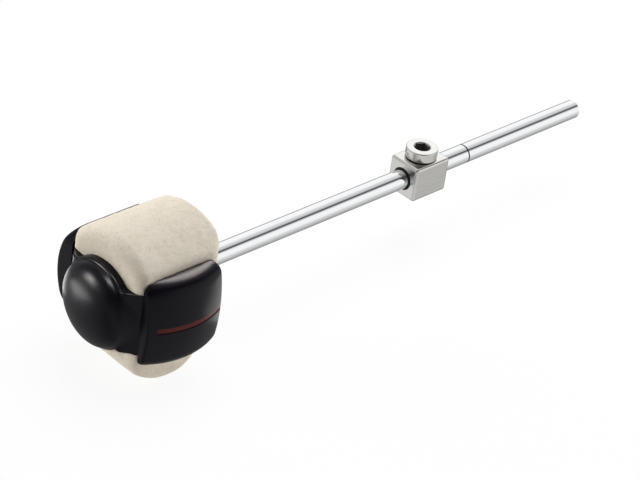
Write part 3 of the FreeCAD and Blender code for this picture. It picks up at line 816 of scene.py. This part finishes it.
def feed(tree, node, **sockets):
    """Links sockets to a node's inputs, whose names are written with underscores for spaces."""
    for label, socket in sockets.items():
        tree.links.new(socket, node.inputs[label.replace("_", " ")])


# %% Helpers for common nodes
def calculate(tree, operation, *values):
    """The result of a maths node."""
    return put(tree, "ShaderNodeMath", dict(enumerate(values)), operation=operation).outputs[0]


def vector_maths(tree, operation, *vectors):
    """The result of a vector maths node: a number for lengths and dot products, otherwise a vector."""
    node = put(tree, "ShaderNodeVectorMath", dict(enumerate(vectors)), operation=operation)
    return node.outputs["Value" if operation in ("LENGTH", "DOT_PRODUCT") else "Vector"]


def remap(tree, value, low, high, to_low=0.0, to_high=1.0, kind="LINEAR"):
    """A value's place between two levels, as 0 to 1 or between two other levels, and held at the ends."""
    levels = {"Value": value, "From Min": low, "From Max": high, "To Min": to_low, "To Max": to_high}
    return put(tree, "ShaderNodeMapRange", levels, interpolation_type=kind).outputs[0]


def noise(tree, vector, scale, detail, roughness=0.5, distortion=0.0):
    """The value of a noise texture."""
    settings = {"Scale": scale, "Detail": detail, "Roughness": roughness, "Distortion": distortion}
    return put(tree, "ShaderNodeTexNoise", {"Vector": vector, **settings}).outputs[0]


def blend_colours(tree, factor, first, second):
    """Mixes two colours by a factor. Each is a socket or three numbers."""
    pair = [tone if isinstance(tone, bpy.types.NodeSocket) else (*tone, 1) for tone in (first, second)]
    return put(tree, "ShaderNodeMix", {0: factor, 6: pair[0], 7: pair[1]}, data_type="RGBA").outputs[2]


# %% Helpers for groups and materials
def start_group(name, inputs, outputs):
    """Starts a node group. Three numbers make a vector input and one a plain input, and outputs are plain."""
    tree = bpy.data.node_groups.new(name, "ShaderNodeTree")
    for label, value in inputs.items():
        kind = "NodeSocketVector" if isinstance(value, tuple) else "NodeSocketFloat"
        tree.interface.new_socket(label, in_out="INPUT", socket_type=kind).default_value = value
    for label in outputs:
        tree.interface.new_socket(label, in_out="OUTPUT", socket_type="NodeSocketFloat")
    return tree, tree.nodes.new("NodeGroupInput").outputs, tree.nodes.new("NodeGroupOutput")


def use_group(tree, group, **inputs):
    """Places a node group in a tree with its own values and gives its outputs."""
    return put(tree, "ShaderNodeGroup", inputs, node_tree=group).outputs


def start_finish(name, **constants):
    """Starts a material: its tree, its shader with constant inputs set, and its Object coordinates."""
    material = bpy.data.materials.new(name)
    material.use_nodes = True
    tree = material.node_tree
    shader = tree.nodes["Principled BSDF"]
    for label, value in constants.items():
        shader.inputs[label.replace("_", " ")].default_value = value
    return material, tree, shader, put(tree, "ShaderNodeTexCoord").outputs["Object"]


def place_from(tree, origin):
    """Object coordinates shifted so that a place on the piece, in millimetres, becomes their origin."""
    coordinates = put(tree, "ShaderNodeTexCoord").outputs["Object"]
    shift = tuple(-value / mm_per_metre for value in origin)
    return put(tree, "ShaderNodeMapping", {"Vector": coordinates, "Location": shift}).outputs["Vector"]


def raise_surface(tree, shader, height, distance, strength):
    """Feeds a height through a bump node into a shader's normal. The distance is in millimetres."""
    settings = {"Distance": distance / mm_per_metre, "Strength": strength}
    feed(tree, shader, Normal=put(tree, "ShaderNodeBump", {"Height": height, **settings}).outputs["Normal"])


# %% [markdown]
# ## Smudges
#
# Handled metal and plastic have faint smudges, which change the roughness and hardly the colour. A painted
# map could show them, but soft noise about a middle roughness has the same uneven gloss and no seams. It is
# a node group, so that every finish can set its own scale, roughness and spread.

# %% Smudges
smudges, given, result = start_group(
    "smudges", {"Vector": (0, 0, 0), "Scale": 120.0, "Roughness": 0.3, "Spread": 0.1}, ["Roughness"])
cloud = noise(smudges, given["Vector"], given["Scale"], detail=4.0, roughness=0.6)
about_middle = calculate(smudges, "SUBTRACT", cloud, 0.5)
smudge = calculate(smudges, "MULTIPLY_ADD", about_middle, given["Spread"], given["Roughness"])
feed(smudges, result, Roughness=smudge)
print("smudges:", len(smudges.nodes), "nodes")

# %% [markdown]
# ## Drawn lines
#
# Drawn, brushed and turned metal has fine lines along one direction. Noise that is squeezed in that
# direction looks like them: the coordinates are multiplied by a stretch that is small along the lines. The
# group puts out a height for the bump and a tone between a bright and a dull colour.

# %% Drawn lines
drawn_lines, given, result = start_group(
    "drawn_lines", {"Vector": (0, 0, 0), "Stretch": (1, 1, 1), "Scale": 4000.0}, ["Height", "Tone"])
stretched = vector_maths(drawn_lines, "MULTIPLY", given["Vector"], given["Stretch"])
lines = noise(drawn_lines, stretched, given["Scale"], detail=3.0, roughness=0.65)
feed(drawn_lines, result, Height=lines, Tone=remap(drawn_lines, lines, 0.35, 0.65))
print("drawn lines:", len(drawn_lines.nodes), "nodes")

# %% [markdown]
# ## Moulded grain
#
# Moulded plastic has a shallow even grain from the mould's surface, and its pigment drifts in slow streaks,
# as the melt flowed. One fine noise gives the grain's height and a much wider, distorted one the tone.

# %% Moulded grain
moulded_grain, given, result = start_group(
    "moulded_grain", {"Vector": (0, 0, 0), "Scale": 2500.0}, ["Height", "Tone"])
flow_share = 0.06
flow_scale = calculate(moulded_grain, "MULTIPLY", given["Scale"], flow_share)
fine_grain = noise(moulded_grain, given["Vector"], given["Scale"], detail=2.0)
flow = noise(moulded_grain, given["Vector"], flow_scale, detail=3.0, distortion=0.8)
feed(moulded_grain, result, Height=fine_grain, Tone=flow)
print("shared effects:", [group.name for group in bpy.data.node_groups])

# %% [markdown]
# ## Metals
#
# The shaft is bright chrome with hardly any grain, the weight is satin steel brushed along its length, and
# the washers and the pad are plain hardware. All of them are pure metal, so nearly everything that they
# show is a reflection, and the finish lives in the roughness and the fine lines. One recipe serves them
# all.

# %% Metal finishes
def metal_finish(name, bright, dull, roughness, spread, stretch, line_scale, line_height):
    """A metal whose tone, roughness and surface follow smudges and drawn lines."""
    material, tree, shader, coordinates = start_finish(name, Metallic=1.0)
    rough = use_group(tree, smudges, Vector=coordinates, Roughness=roughness, Spread=spread)
    wear = use_group(tree, drawn_lines, Vector=coordinates, Stretch=stretch, Scale=line_scale)
    colour = blend_colours(tree, wear["Tone"], bright, dull)
    feed(tree, shader, Base_Color=colour, Roughness=rough["Roughness"])
    raise_surface(tree, shader, wear["Height"], line_height, strength=0.5)
    return material


along_shaft, every_way = (0.03, 1, 1), (1, 1, 1)
chrome = metal_finish("polished_chrome", (0.92, 0.93, 0.94), (0.89, 0.91, 0.92), roughness=0.05, spread=0.04,
                      stretch=along_shaft, line_scale=2500.0, line_height=0.001)
satin_steel = metal_finish("brushed_satin_steel", (0.72, 0.71, 0.68), (0.63, 0.62, 0.59), roughness=0.17,
                           spread=0.10, stretch=along_shaft, line_scale=5000.0, line_height=0.003)
zinc_steel = metal_finish("zinc_plated_steel", (0.62, 0.62, 0.60), (0.50, 0.50, 0.48), roughness=0.30,
                          spread=0.20, stretch=every_way, line_scale=900.0, line_height=0.004)
brass = metal_finish("turned_brass", (0.70, 0.50, 0.20), (0.58, 0.40, 0.15), roughness=0.28, spread=0.16,
                     stretch=every_way, line_scale=1500.0, line_height=0.003)
print("metals:", [finish.name for finish in (chrome, satin_steel, zinc_steel, brass)])

# %% [markdown]
# ## Soiled and shaded places
#
# Dirt settles in the scribed ring of the shaft, and painted shade darkens the weight's ends above and on the
# near side of the mouth of its bore. Both are places on the piece, so a mask worked out from the distance to
# a point picks them, where a painted mask would need an image. The painted shade is kept to the block's ends
# by leaving out its middle.

# %% Soiled and shaded places
def soil_and_shade(material, mask, colour):
    """Darkens a metal's base colour where a mask is 1: dirt in the shaft's ring, painted shade on the weight.
    """
    tree = material.node_tree
    shader = tree.nodes["Principled BSDF"]
    clean = shader.inputs["Base Color"].links[0].from_socket
    feed(tree, shader, Base_Color=blend_colours(tree, mask, clean, colour))


def distance_mask(tree, vector, directions, full, none):
    """1 within one distance of the origin and 0 past another, in millimetres along some directions only."""
    length = vector_maths(tree, "LENGTH", vector_maths(tree, "MULTIPLY", vector, directions))
    return remap(tree, length, none / mm_per_metre, full / mm_per_metre, kind="SMOOTHSTEP")


lengthwise, crosswise = (1, 0, 0), (0, 1, 1)
tree, ring_half, ring_fade = chrome.node_tree, ring_width / 2, 0.06
from_ring = place_from(tree, (ring_x + ring_half, 0, 0))
in_ring = distance_mask(tree, from_ring, lengthwise, ring_half, ring_half + ring_fade)
soil_and_shade(chrome, in_ring, (0.05, 0.05, 0.055))
# Painted shade: both ends of the weight are darkened above and on the near side of the bore's mouth.
tree, shade_spot_y, shade_spot_z, shade_spot_full, shade_spot_none = satin_steel.node_tree, -5.0, 3.5, 0.5, 5.6
end_full, end_none = 0.6, 0.2
from_shade_spot = place_from(tree, (weight_middle[0], shade_spot_y, shade_spot_z))
near_bush = distance_mask(tree, from_shade_spot, crosswise, shade_spot_full, shade_spot_none)
inside_block = distance_mask(tree, from_shade_spot, lengthwise, half_length - end_full, half_length - end_none)
on_ends = calculate(tree, "SUBTRACT", 1.0, inside_block)
# The colour below is the painted shade, a darker steel on the weight's ends.
soil_and_shade(satin_steel, calculate(tree, "MULTIPLY", near_bush, on_ends), (0.42, 0.41, 0.40))
print("soiled_and_shaded: the ring at x", round(ring_x, 1), "and the ends of the weight")

# %% [markdown]
# ## The screw's finish
#
# The screw is plated steel with faint turning rings on its head and painted shade in its socket. Lines along
# one direction would be wrong on a turned head, so the lines read the distance from the screw's axis and the
# height. The painted shade is a dark matt colour picked by two masks, within the socket's mouth and below the
# head's top, and isn't metal.

# %% Screw finish
screw_steel, tree, shader, coordinates = start_finish("plated_screw_steel", Metallic=1.0)
# Radii and depths, in millimetres, of the painted shade in the socket.
socket_shade_full, socket_shade_none, socket_shade_shallow, socket_shade_deep = 3.4, 4.0, 0.1, 0.6
from_axis = place_from(tree, (screw_middle[0], 0, 0))
height = put(tree, "ShaderNodeSeparateXYZ", {"Vector": from_axis}).outputs["Z"]
from_centre = vector_maths(tree, "LENGTH", vector_maths(tree, "MULTIPLY", from_axis, (1, 1, 0)))
turned_place = put(tree, "ShaderNodeCombineXYZ", {"X": from_centre, "Y": height}).outputs[0]
rings = use_group(tree, drawn_lines, Vector=turned_place, Scale=5000.0)
rough = use_group(tree, smudges, Vector=coordinates, Scale=300.0, Roughness=0.24, Spread=0.14)
within = remap(tree, from_centre, socket_shade_none / mm_per_metre, socket_shade_full / mm_per_metre)
below = remap(tree, height, (head_top - socket_shade_shallow) / mm_per_metre, (head_top - socket_shade_deep) / mm_per_metre)
# Painted shade: the socket's recess gets a dark matt colour in place of its shade, mixed in below.
painted_socket_shade = calculate(tree, "MULTIPLY", within, below)
plated = blend_colours(tree, rings["Tone"], (0.76, 0.75, 0.72), (0.66, 0.65, 0.63))
feed(tree, shader, Base_Color=blend_colours(tree, painted_socket_shade, plated, (0.14, 0.13, 0.13)),
     Metallic=calculate(tree, "SUBTRACT", 1.0, painted_socket_shade), Roughness=rough["Roughness"])
raise_surface(tree, shader, rings["Height"], distance=0.004, strength=0.5)
print("screw finish:", len(tree.nodes), "nodes")

# %% [markdown]
# ## Plastics
#
# The striking plates and the nose are the same black moulding compound with a soft gloss, the bushes and
# the hub are duller, and the strips are dark red. They share one recipe: a colour that drifts a little, as
# pigment does in a moulding, a fine grain and smudged roughness. The specular level is low, so broad white
# surroundings leave the black black and only the lamps make highlights.

# %% Plastic finishes
def plastic_finish(name, deep, pale, roughness, spread, grain_scale, grain_height, specular):
    """A moulded plastic whose colour drifts between two tones over a fine grain."""
    material, tree, shader, coordinates = start_finish(name, Specular_IOR_Level=specular)
    surface = use_group(tree, moulded_grain, Vector=coordinates, Scale=grain_scale)
    rough = use_group(tree, smudges, Vector=coordinates, Scale=150.0, Roughness=roughness, Spread=spread)
    colour = blend_colours(tree, surface["Tone"], deep, pale)
    feed(tree, shader, Base_Color=colour, Roughness=rough["Roughness"])
    raise_surface(tree, shader, surface["Height"], grain_height, strength=0.4)
    return material


black_plastic = plastic_finish("moulded_black", (0.0012, 0.0005, 0.0034), (0.0026, 0.0014, 0.0050),
                               roughness=0.29, spread=0.10, grain_scale=3500.0, grain_height=0.004,
                               specular=0.15)
red_plastic = plastic_finish("moulded_red", (0.075, 0.006, 0.007), (0.115, 0.012, 0.012), roughness=0.36,
                             spread=0.12, grain_scale=3000.0, grain_height=0.005, specular=0.16)
bush_plastic = plastic_finish("bearing_plastic", (0.006, 0.006, 0.007), (0.012, 0.012, 0.013), roughness=0.45,
                              spread=0.12, grain_scale=2500.0, grain_height=0.010, specular=0.25)
hub_plastic = plastic_finish("hub_plastic", (0.008, 0.008, 0.009), (0.020, 0.020, 0.021), roughness=0.50,
                             spread=0.15, grain_scale=1800.0, grain_height=0.030, specular=0.30)
print("plastics:", [finish.name for finish in (black_plastic, red_plastic, bush_plastic, hub_plastic)])

# %% [markdown]
# ## Felt
#
# Pressed wool felt is a mat of fibres: cream with paler and darker drifts a few millimetres wide, a fine
# grain of fibres that lie every way, and now and then a tiny dark speck. Real hairs would be far too many,
# so the drifts and specks go into the colour and the grain and fibres into the bump. A little sheen stands
# for the loose fibres that catch light at grazing angles.

# %% Felt finish
felt, tree, shader, coordinates = start_finish("pressed_felt", Roughness=0.95, Specular_IOR_Level=0.08,
                                               Sheen_Weight=0.12, Sheen_Roughness=0.6)
drifts = noise(tree, coordinates, scale=190.0, detail=4.0, roughness=0.6)
fibres = noise(tree, coordinates, scale=520.0, detail=5.0, roughness=0.7, distortion=2.2)
fine_grain = noise(tree, coordinates, scale=3600.0, detail=2.0)
drift_share, grain_share = 0.3, 0.4
tone = remap(tree, calculate(tree, "MULTIPLY_ADD", drifts, drift_share, fibres), 0.46, 0.84)
wool = blend_colours(tree, tone, (0.745, 0.645, 0.505), (0.860, 0.790, 0.675))
specks = put(tree, "ShaderNodeTexVoronoi", {"Vector": coordinates, "Scale": 380.0, "Randomness": 1.0})
speck = remap(tree, specks.outputs["Distance"], 0.16, 0.08, to_high=0.45)
feed(tree, shader, Base_Color=blend_colours(tree, speck, wool, (0.50, 0.41, 0.30)))
mat_height = calculate(tree, "MULTIPLY_ADD", fine_grain, grain_share, fibres)
raise_surface(tree, shader, mat_height, distance=0.16, strength=0.6)
print("felt finish:", len(tree.nodes), "nodes")

# %% [markdown]
# ## Putting the finishes on
#
# A new piece gets its finish as its only material. Four small CAD parts inside the head and the weight are
# right as they are, so they stay and only their material slots change.

# %% Finishes on the pieces
dressed = {
    chrome: [shaft], satin_steel: [weight], screw_steel: [screw], zinc_steel: [washer],
    felt: [upper_felt, lower_felt], black_plastic: [nose, crowned, straight],
    red_plastic: [crowned_strip, straight_strip], bush_plastic: [bushes], hub_plastic: [hub],
}
for finish, pieces in dressed.items():
    for piece in pieces:
        piece.data.materials.append(finish)
for node, finish in (("front_washer", zinc_steel), ("spring_washer", zinc_steel), ("lock_nut", zinc_steel),
                     ("pressure_pad", brass)):
    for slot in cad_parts[node].material_slots:
        slot.material = finish
print("dressed:", sum(len(pieces) for pieces in dressed.values()), "new pieces and 4 CAD parts")

# %% [markdown]
# ## Camera
#
# The picture was taken from in front of the head, a little above it and with a long lens. The camera could
# be aimed by eye, but it was fitted to the photograph: the shaft's edges, the block's corners and the screw
# fix its place, its turn and its lens. The directions below are its own back and up.

# %% Camera
camera_data = bpy.data.cameras.new("camera")
camera_data.lens, camera_data.sensor_width = 140.6, 36.0
camera_data.shift_x, camera_data.shift_y = -0.0006, 0.0012
camera = bpy.data.objects.new("camera", camera_data)
scene.collection.objects.link(camera)
camera_place = Vector((-0.71767, -0.55331, 0.52299))
camera_back = Vector((-0.61768, -0.56413, 0.54794))
camera_up = Vector((0.30401, 0.47129, 0.82793))
turn = Matrix((camera_up.cross(camera_back), camera_up, camera_back)).transposed().to_4x4()
camera.matrix_world = Matrix.Translation(camera_place) @ turn
scene.camera = camera
print("camera at", camera_place, "with a", camera_data.lens, "mm lens")

# %% [markdown]
# ## White table
#
# The beater lies on a white table that fades into a white background and keeps a faint shadow. A lit white
# plane alone would come out grey in places. So most of what the camera sees of it is a plain white glow,
# and the rest is the lit surface, which carries the shadow.

# %% Table
table_gap, table_half, glow_share, glow_level = 0.0008, 4.0, 0.90, 1.02
table_z = cad_low[2] - table_gap
corners = np.array([(-1, -1, 0), (1, -1, 0), (1, 1, 0), (-1, 1, 0)]) * table_half + (0, 0, table_z)
table_mesh = bpy.data.meshes.new("table")
table_mesh.from_pydata(corners.tolist(), [], [(0, 1, 2, 3)])
table = bpy.data.objects.new("table", table_mesh)
scene.collection.objects.link(table)
table.visible_glossy = False
white_table, tree, shader, _ = start_finish("white_table", Base_Color=(0.86, 0.86, 0.86, 1), Roughness=0.9,
                                            Specular_IOR_Level=0.1)


def seen_directly(tree):
    """1 for rays that the camera sends, also through something clear, and 0 for all others."""
    path = put(tree, "ShaderNodeLightPath").outputs
    return calculate(tree, "MAXIMUM", path["Is Camera Ray"], path["Is Transmission Ray"])


glow = put(tree, "ShaderNodeEmission", {"Color": (1, 1, 1, 1), "Strength": glow_level}).outputs[0]
shown = calculate(tree, "MULTIPLY", seen_directly(tree), glow_share)
table_mix = put(tree, "ShaderNodeMixShader", {0: shown, 1: shader.outputs[0], 2: glow})
feed(tree, tree.nodes["Material Output"], Surface=table_mix.outputs[0])
table_mesh.materials.append(white_table)
print("table at z", round(table_z, 4))

# %% [markdown]
# ## Surroundings
#
# Chrome shows only its surroundings. In a studio, white cards and dark gaps between them make a polished
# rod look round. An image of a studio could be wrapped round the scene, but bands are easier to place: for
# polished surfaces the world's level depends on the angle round the shaft, counted from -Y upwards. One row
# of bands holds for rays towards the head's end and another for rays towards the tip, with a soft change
# between them.

# %% Bands round the shaft
world = bpy.data.worlds.new("studio")
scene.world = world
world.use_nodes = True
tree = world.node_tree
direction = put(tree, "ShaderNodeTexCoord").outputs["Generated"]
ray = put(tree, "ShaderNodeSeparateXYZ", {"Vector": direction}).outputs
towards_minus_y = calculate(tree, "MULTIPLY", ray["Y"], -1.0)
round_shaft = calculate(tree, "ARCTAN2", ray["Z"], towards_minus_y)
band_place = remap(tree, round_shaft, -math.pi, math.pi)


def bands(tones):
    """A colour ramp of grey levels at angles round the shaft, in degrees from -180 to 180."""
    ramp = put(tree, "ShaderNodeValToRGB", {"Fac": band_place})
    while len(ramp.color_ramp.elements) < len(tones):
        ramp.color_ramp.elements.new(0.5)
    for element, (degrees, level) in zip(ramp.color_ramp.elements, tones):
        element.position = (degrees + 180) / 360
        element.color = (level, level, level, 1)
    return ramp.outputs[0]


tip_bands = bands([
    (-180, 0.50), (-150, 0.26), (-110, 0.28), (-80, 0.40), (-58, 0.52), (-44, 0.65), (-28, 0.72), (-12, 0.96),
    (30, 1.00), (44, 0.50), (51, 0.08), (60, 0.08), (68, 0.46), (80, 0.66), (98, 0.76), (112, 1.00),
    (166, 1.04), (180, 0.55),
])
head_bands = bands([
    (-180, 0.66), (-136, 0.57), (-95, 0.40), (-75, 0.40), (-45, 0.85), (0, 0.50), (28, 0.20), (44, 0.06),
    (60, 0.20), (85, 0.45), (110, 0.55), (138, 0.66), (180, 0.66),
])
towards_tip = remap(tree, ray["X"], -0.25, 0.30)
surroundings = blend_colours(tree, towards_tip, head_bands, tip_bands)
print("bands round the shaft:", len(tree.nodes), "nodes")

# %% [markdown]
# ## World light
#
# Matt surfaces need no bands, only a soft warm light from all round. It is weaker from the front, as in a
# studio with a dark end, so that the faces turned that way stay darker than the ones turned to the lamps.
# To the camera itself the world is plain white.

# %% World
front_heading, front_from, front_full = (-0.62, -0.58, 0.53), 0.1, 0.8
level_round, level_front = 0.36, 0.02
towards_front = vector_maths(tree, "DOT_PRODUCT", direction, front_heading)
matt_level = remap(tree, towards_front, front_from, front_full, level_round, level_front)


def background(colour, strength):
    """A background shader of a colour and a strength."""
    return put(tree, "ShaderNodeBackground", {"Color": colour, "Strength": strength}).outputs[0]


matt_light, polished_light = background((1.0, 0.96, 0.91, 1), matt_level), background(surroundings, 1.0)
glossy = put(tree, "ShaderNodeLightPath").outputs["Is Glossy Ray"]
lit = put(tree, "ShaderNodeMixShader", {0: glossy, 1: matt_light, 2: polished_light}).outputs[0]
white = background((1, 1, 1, 1), 1.0)
whole = put(tree, "ShaderNodeMixShader", {0: seen_directly(tree), 1: lit, 2: white}).outputs[0]
feed(tree, tree.nodes["World Output"], Surface=whole)
print("world:", len(tree.nodes), "nodes")

# %% [markdown]
# ## Lamps
#
# Three broad softboxes and a faint glow from the table light the felt and everything else that is matt. The
# highlights are made apart from them. A lamp that is given a few pieces makes glints on those alone, as a
# small mirror held near them would. One set of lamps for both would be simpler, but then each highlight on
# the black dome would also flatten the felt.

# %% Kinds of lamps
def chosen(name, *pieces):
    """A collection that names the pieces which a lamp lights."""
    collection = bpy.data.collections.new(name)
    for piece in pieces:
        collection.objects.link(piece)
    return collection


def softbox(name, aim, heading, distance, size, watts, only=None, colour=(1, 1, 1)):
    """A square lamp aimed at a point from a heading. It lights matt surfaces, or makes glints on a few."""
    data = bpy.data.lights.new(name, "AREA")
    data.shape, data.size, data.energy, data.color = "SQUARE", size, watts, colour
    lamp = bpy.data.objects.new(name, data)
    scene.collection.objects.link(lamp)
    away = Vector(heading).normalized()
    lamp.location = Vector(aim) + away * distance
    lamp.rotation_euler = away.to_track_quat("Z", "Y").to_euler()
    lamp.visible_camera, lamp.visible_glossy, lamp.visible_diffuse = False, only is not None, only is None
    lamp.light_linking.receiver_collection = only


def table_panel(name, x, y, size, watts, only=None, lift=0.001):
    """A softbox that lies on the table and looks straight up."""
    softbox(name, (x, y, table_z + lift), (0, 0, -1), 0.0, size, watts, only)


# %% Lamps
head_middle, dome_middle = (-0.20, 0, 0), (-0.23, 0, 0)
shaft_middle, block_top = (-0.12, 0, 0), (-0.06, 0, 0.01)
softbox("overhead", shaft_middle, heading=(0.30, 0.16, 1.0), distance=0.9, size=0.8, watts=7.2,
        colour=(0.97, 1.0, 1.04))
softbox("left", head_middle, heading=(-0.74, 0.65, 0.18), distance=0.9, size=0.5, watts=4.7)
softbox("right", head_middle, heading=(0.78, -0.62, 0.0), distance=0.9, size=0.5, watts=3.6)
table_panel("table_glow", x=-0.18, y=-0.06, size=0.14, watts=0.022)
print("lamps for matt surfaces:", [lamp.name for lamp in bpy.data.lights])

# %% [markdown]
# ## Glints
#
# A glossy black dome is drawn by its highlights: a bright one at the upper left, a weaker one below it and a
# thin light rim. Each comes from a softbox, or from a white panel that lies on the table, at the place where
# the dome mirrors it. The weight and the screw get their own panel and lamp.

# %% Glints
nose_only = chosen("nose_only", nose)
black_pieces = chosen("black_pieces", nose, crowned, straight, crowned_strip, straight_strip)
bright_pieces = chosen("bright_pieces", weight, screw)
strap_ledge = (-0.225, -0.015, 0.013)
softbox("dome_glint", dome_middle, heading=(-0.80, 0.56, 0.20), distance=0.8, size=0.22, watts=5.6,
        only=nose_only, colour=(1.0, 0.95, 0.93))
softbox("plate_glint", head_middle, heading=(0.57, 0.42, 0.70), distance=0.35, size=0.28, watts=3.4,
        only=black_pieces, colour=(1.0, 0.92, 0.88))
softbox("ledge_glint", strap_ledge, heading=(-0.21, -0.16, 0.96), distance=0.5, size=0.16, watts=2.4,
        only=nose_only)
table_panel("dome_panel", x=-0.302, y=0.078, size=0.06, watts=0.10, only=nose_only)
table_panel("rim_panel", x=-0.212, y=0.078, size=0.05, watts=0.022, only=nose_only)
table_panel("rear_panel", x=-0.10, y=0.0, size=0.12, watts=0.06, only=black_pieces)
table_panel("weight_panel", x=-0.13, y=0.05, size=0.12, watts=0.014, only=bright_pieces)
softbox("top_glint", block_top, heading=(0.65, 0.55, 0.52), distance=1.0, size=0.8, watts=0.6,
        only=bright_pieces)
print("lamps and glints:", len(bpy.data.lights))
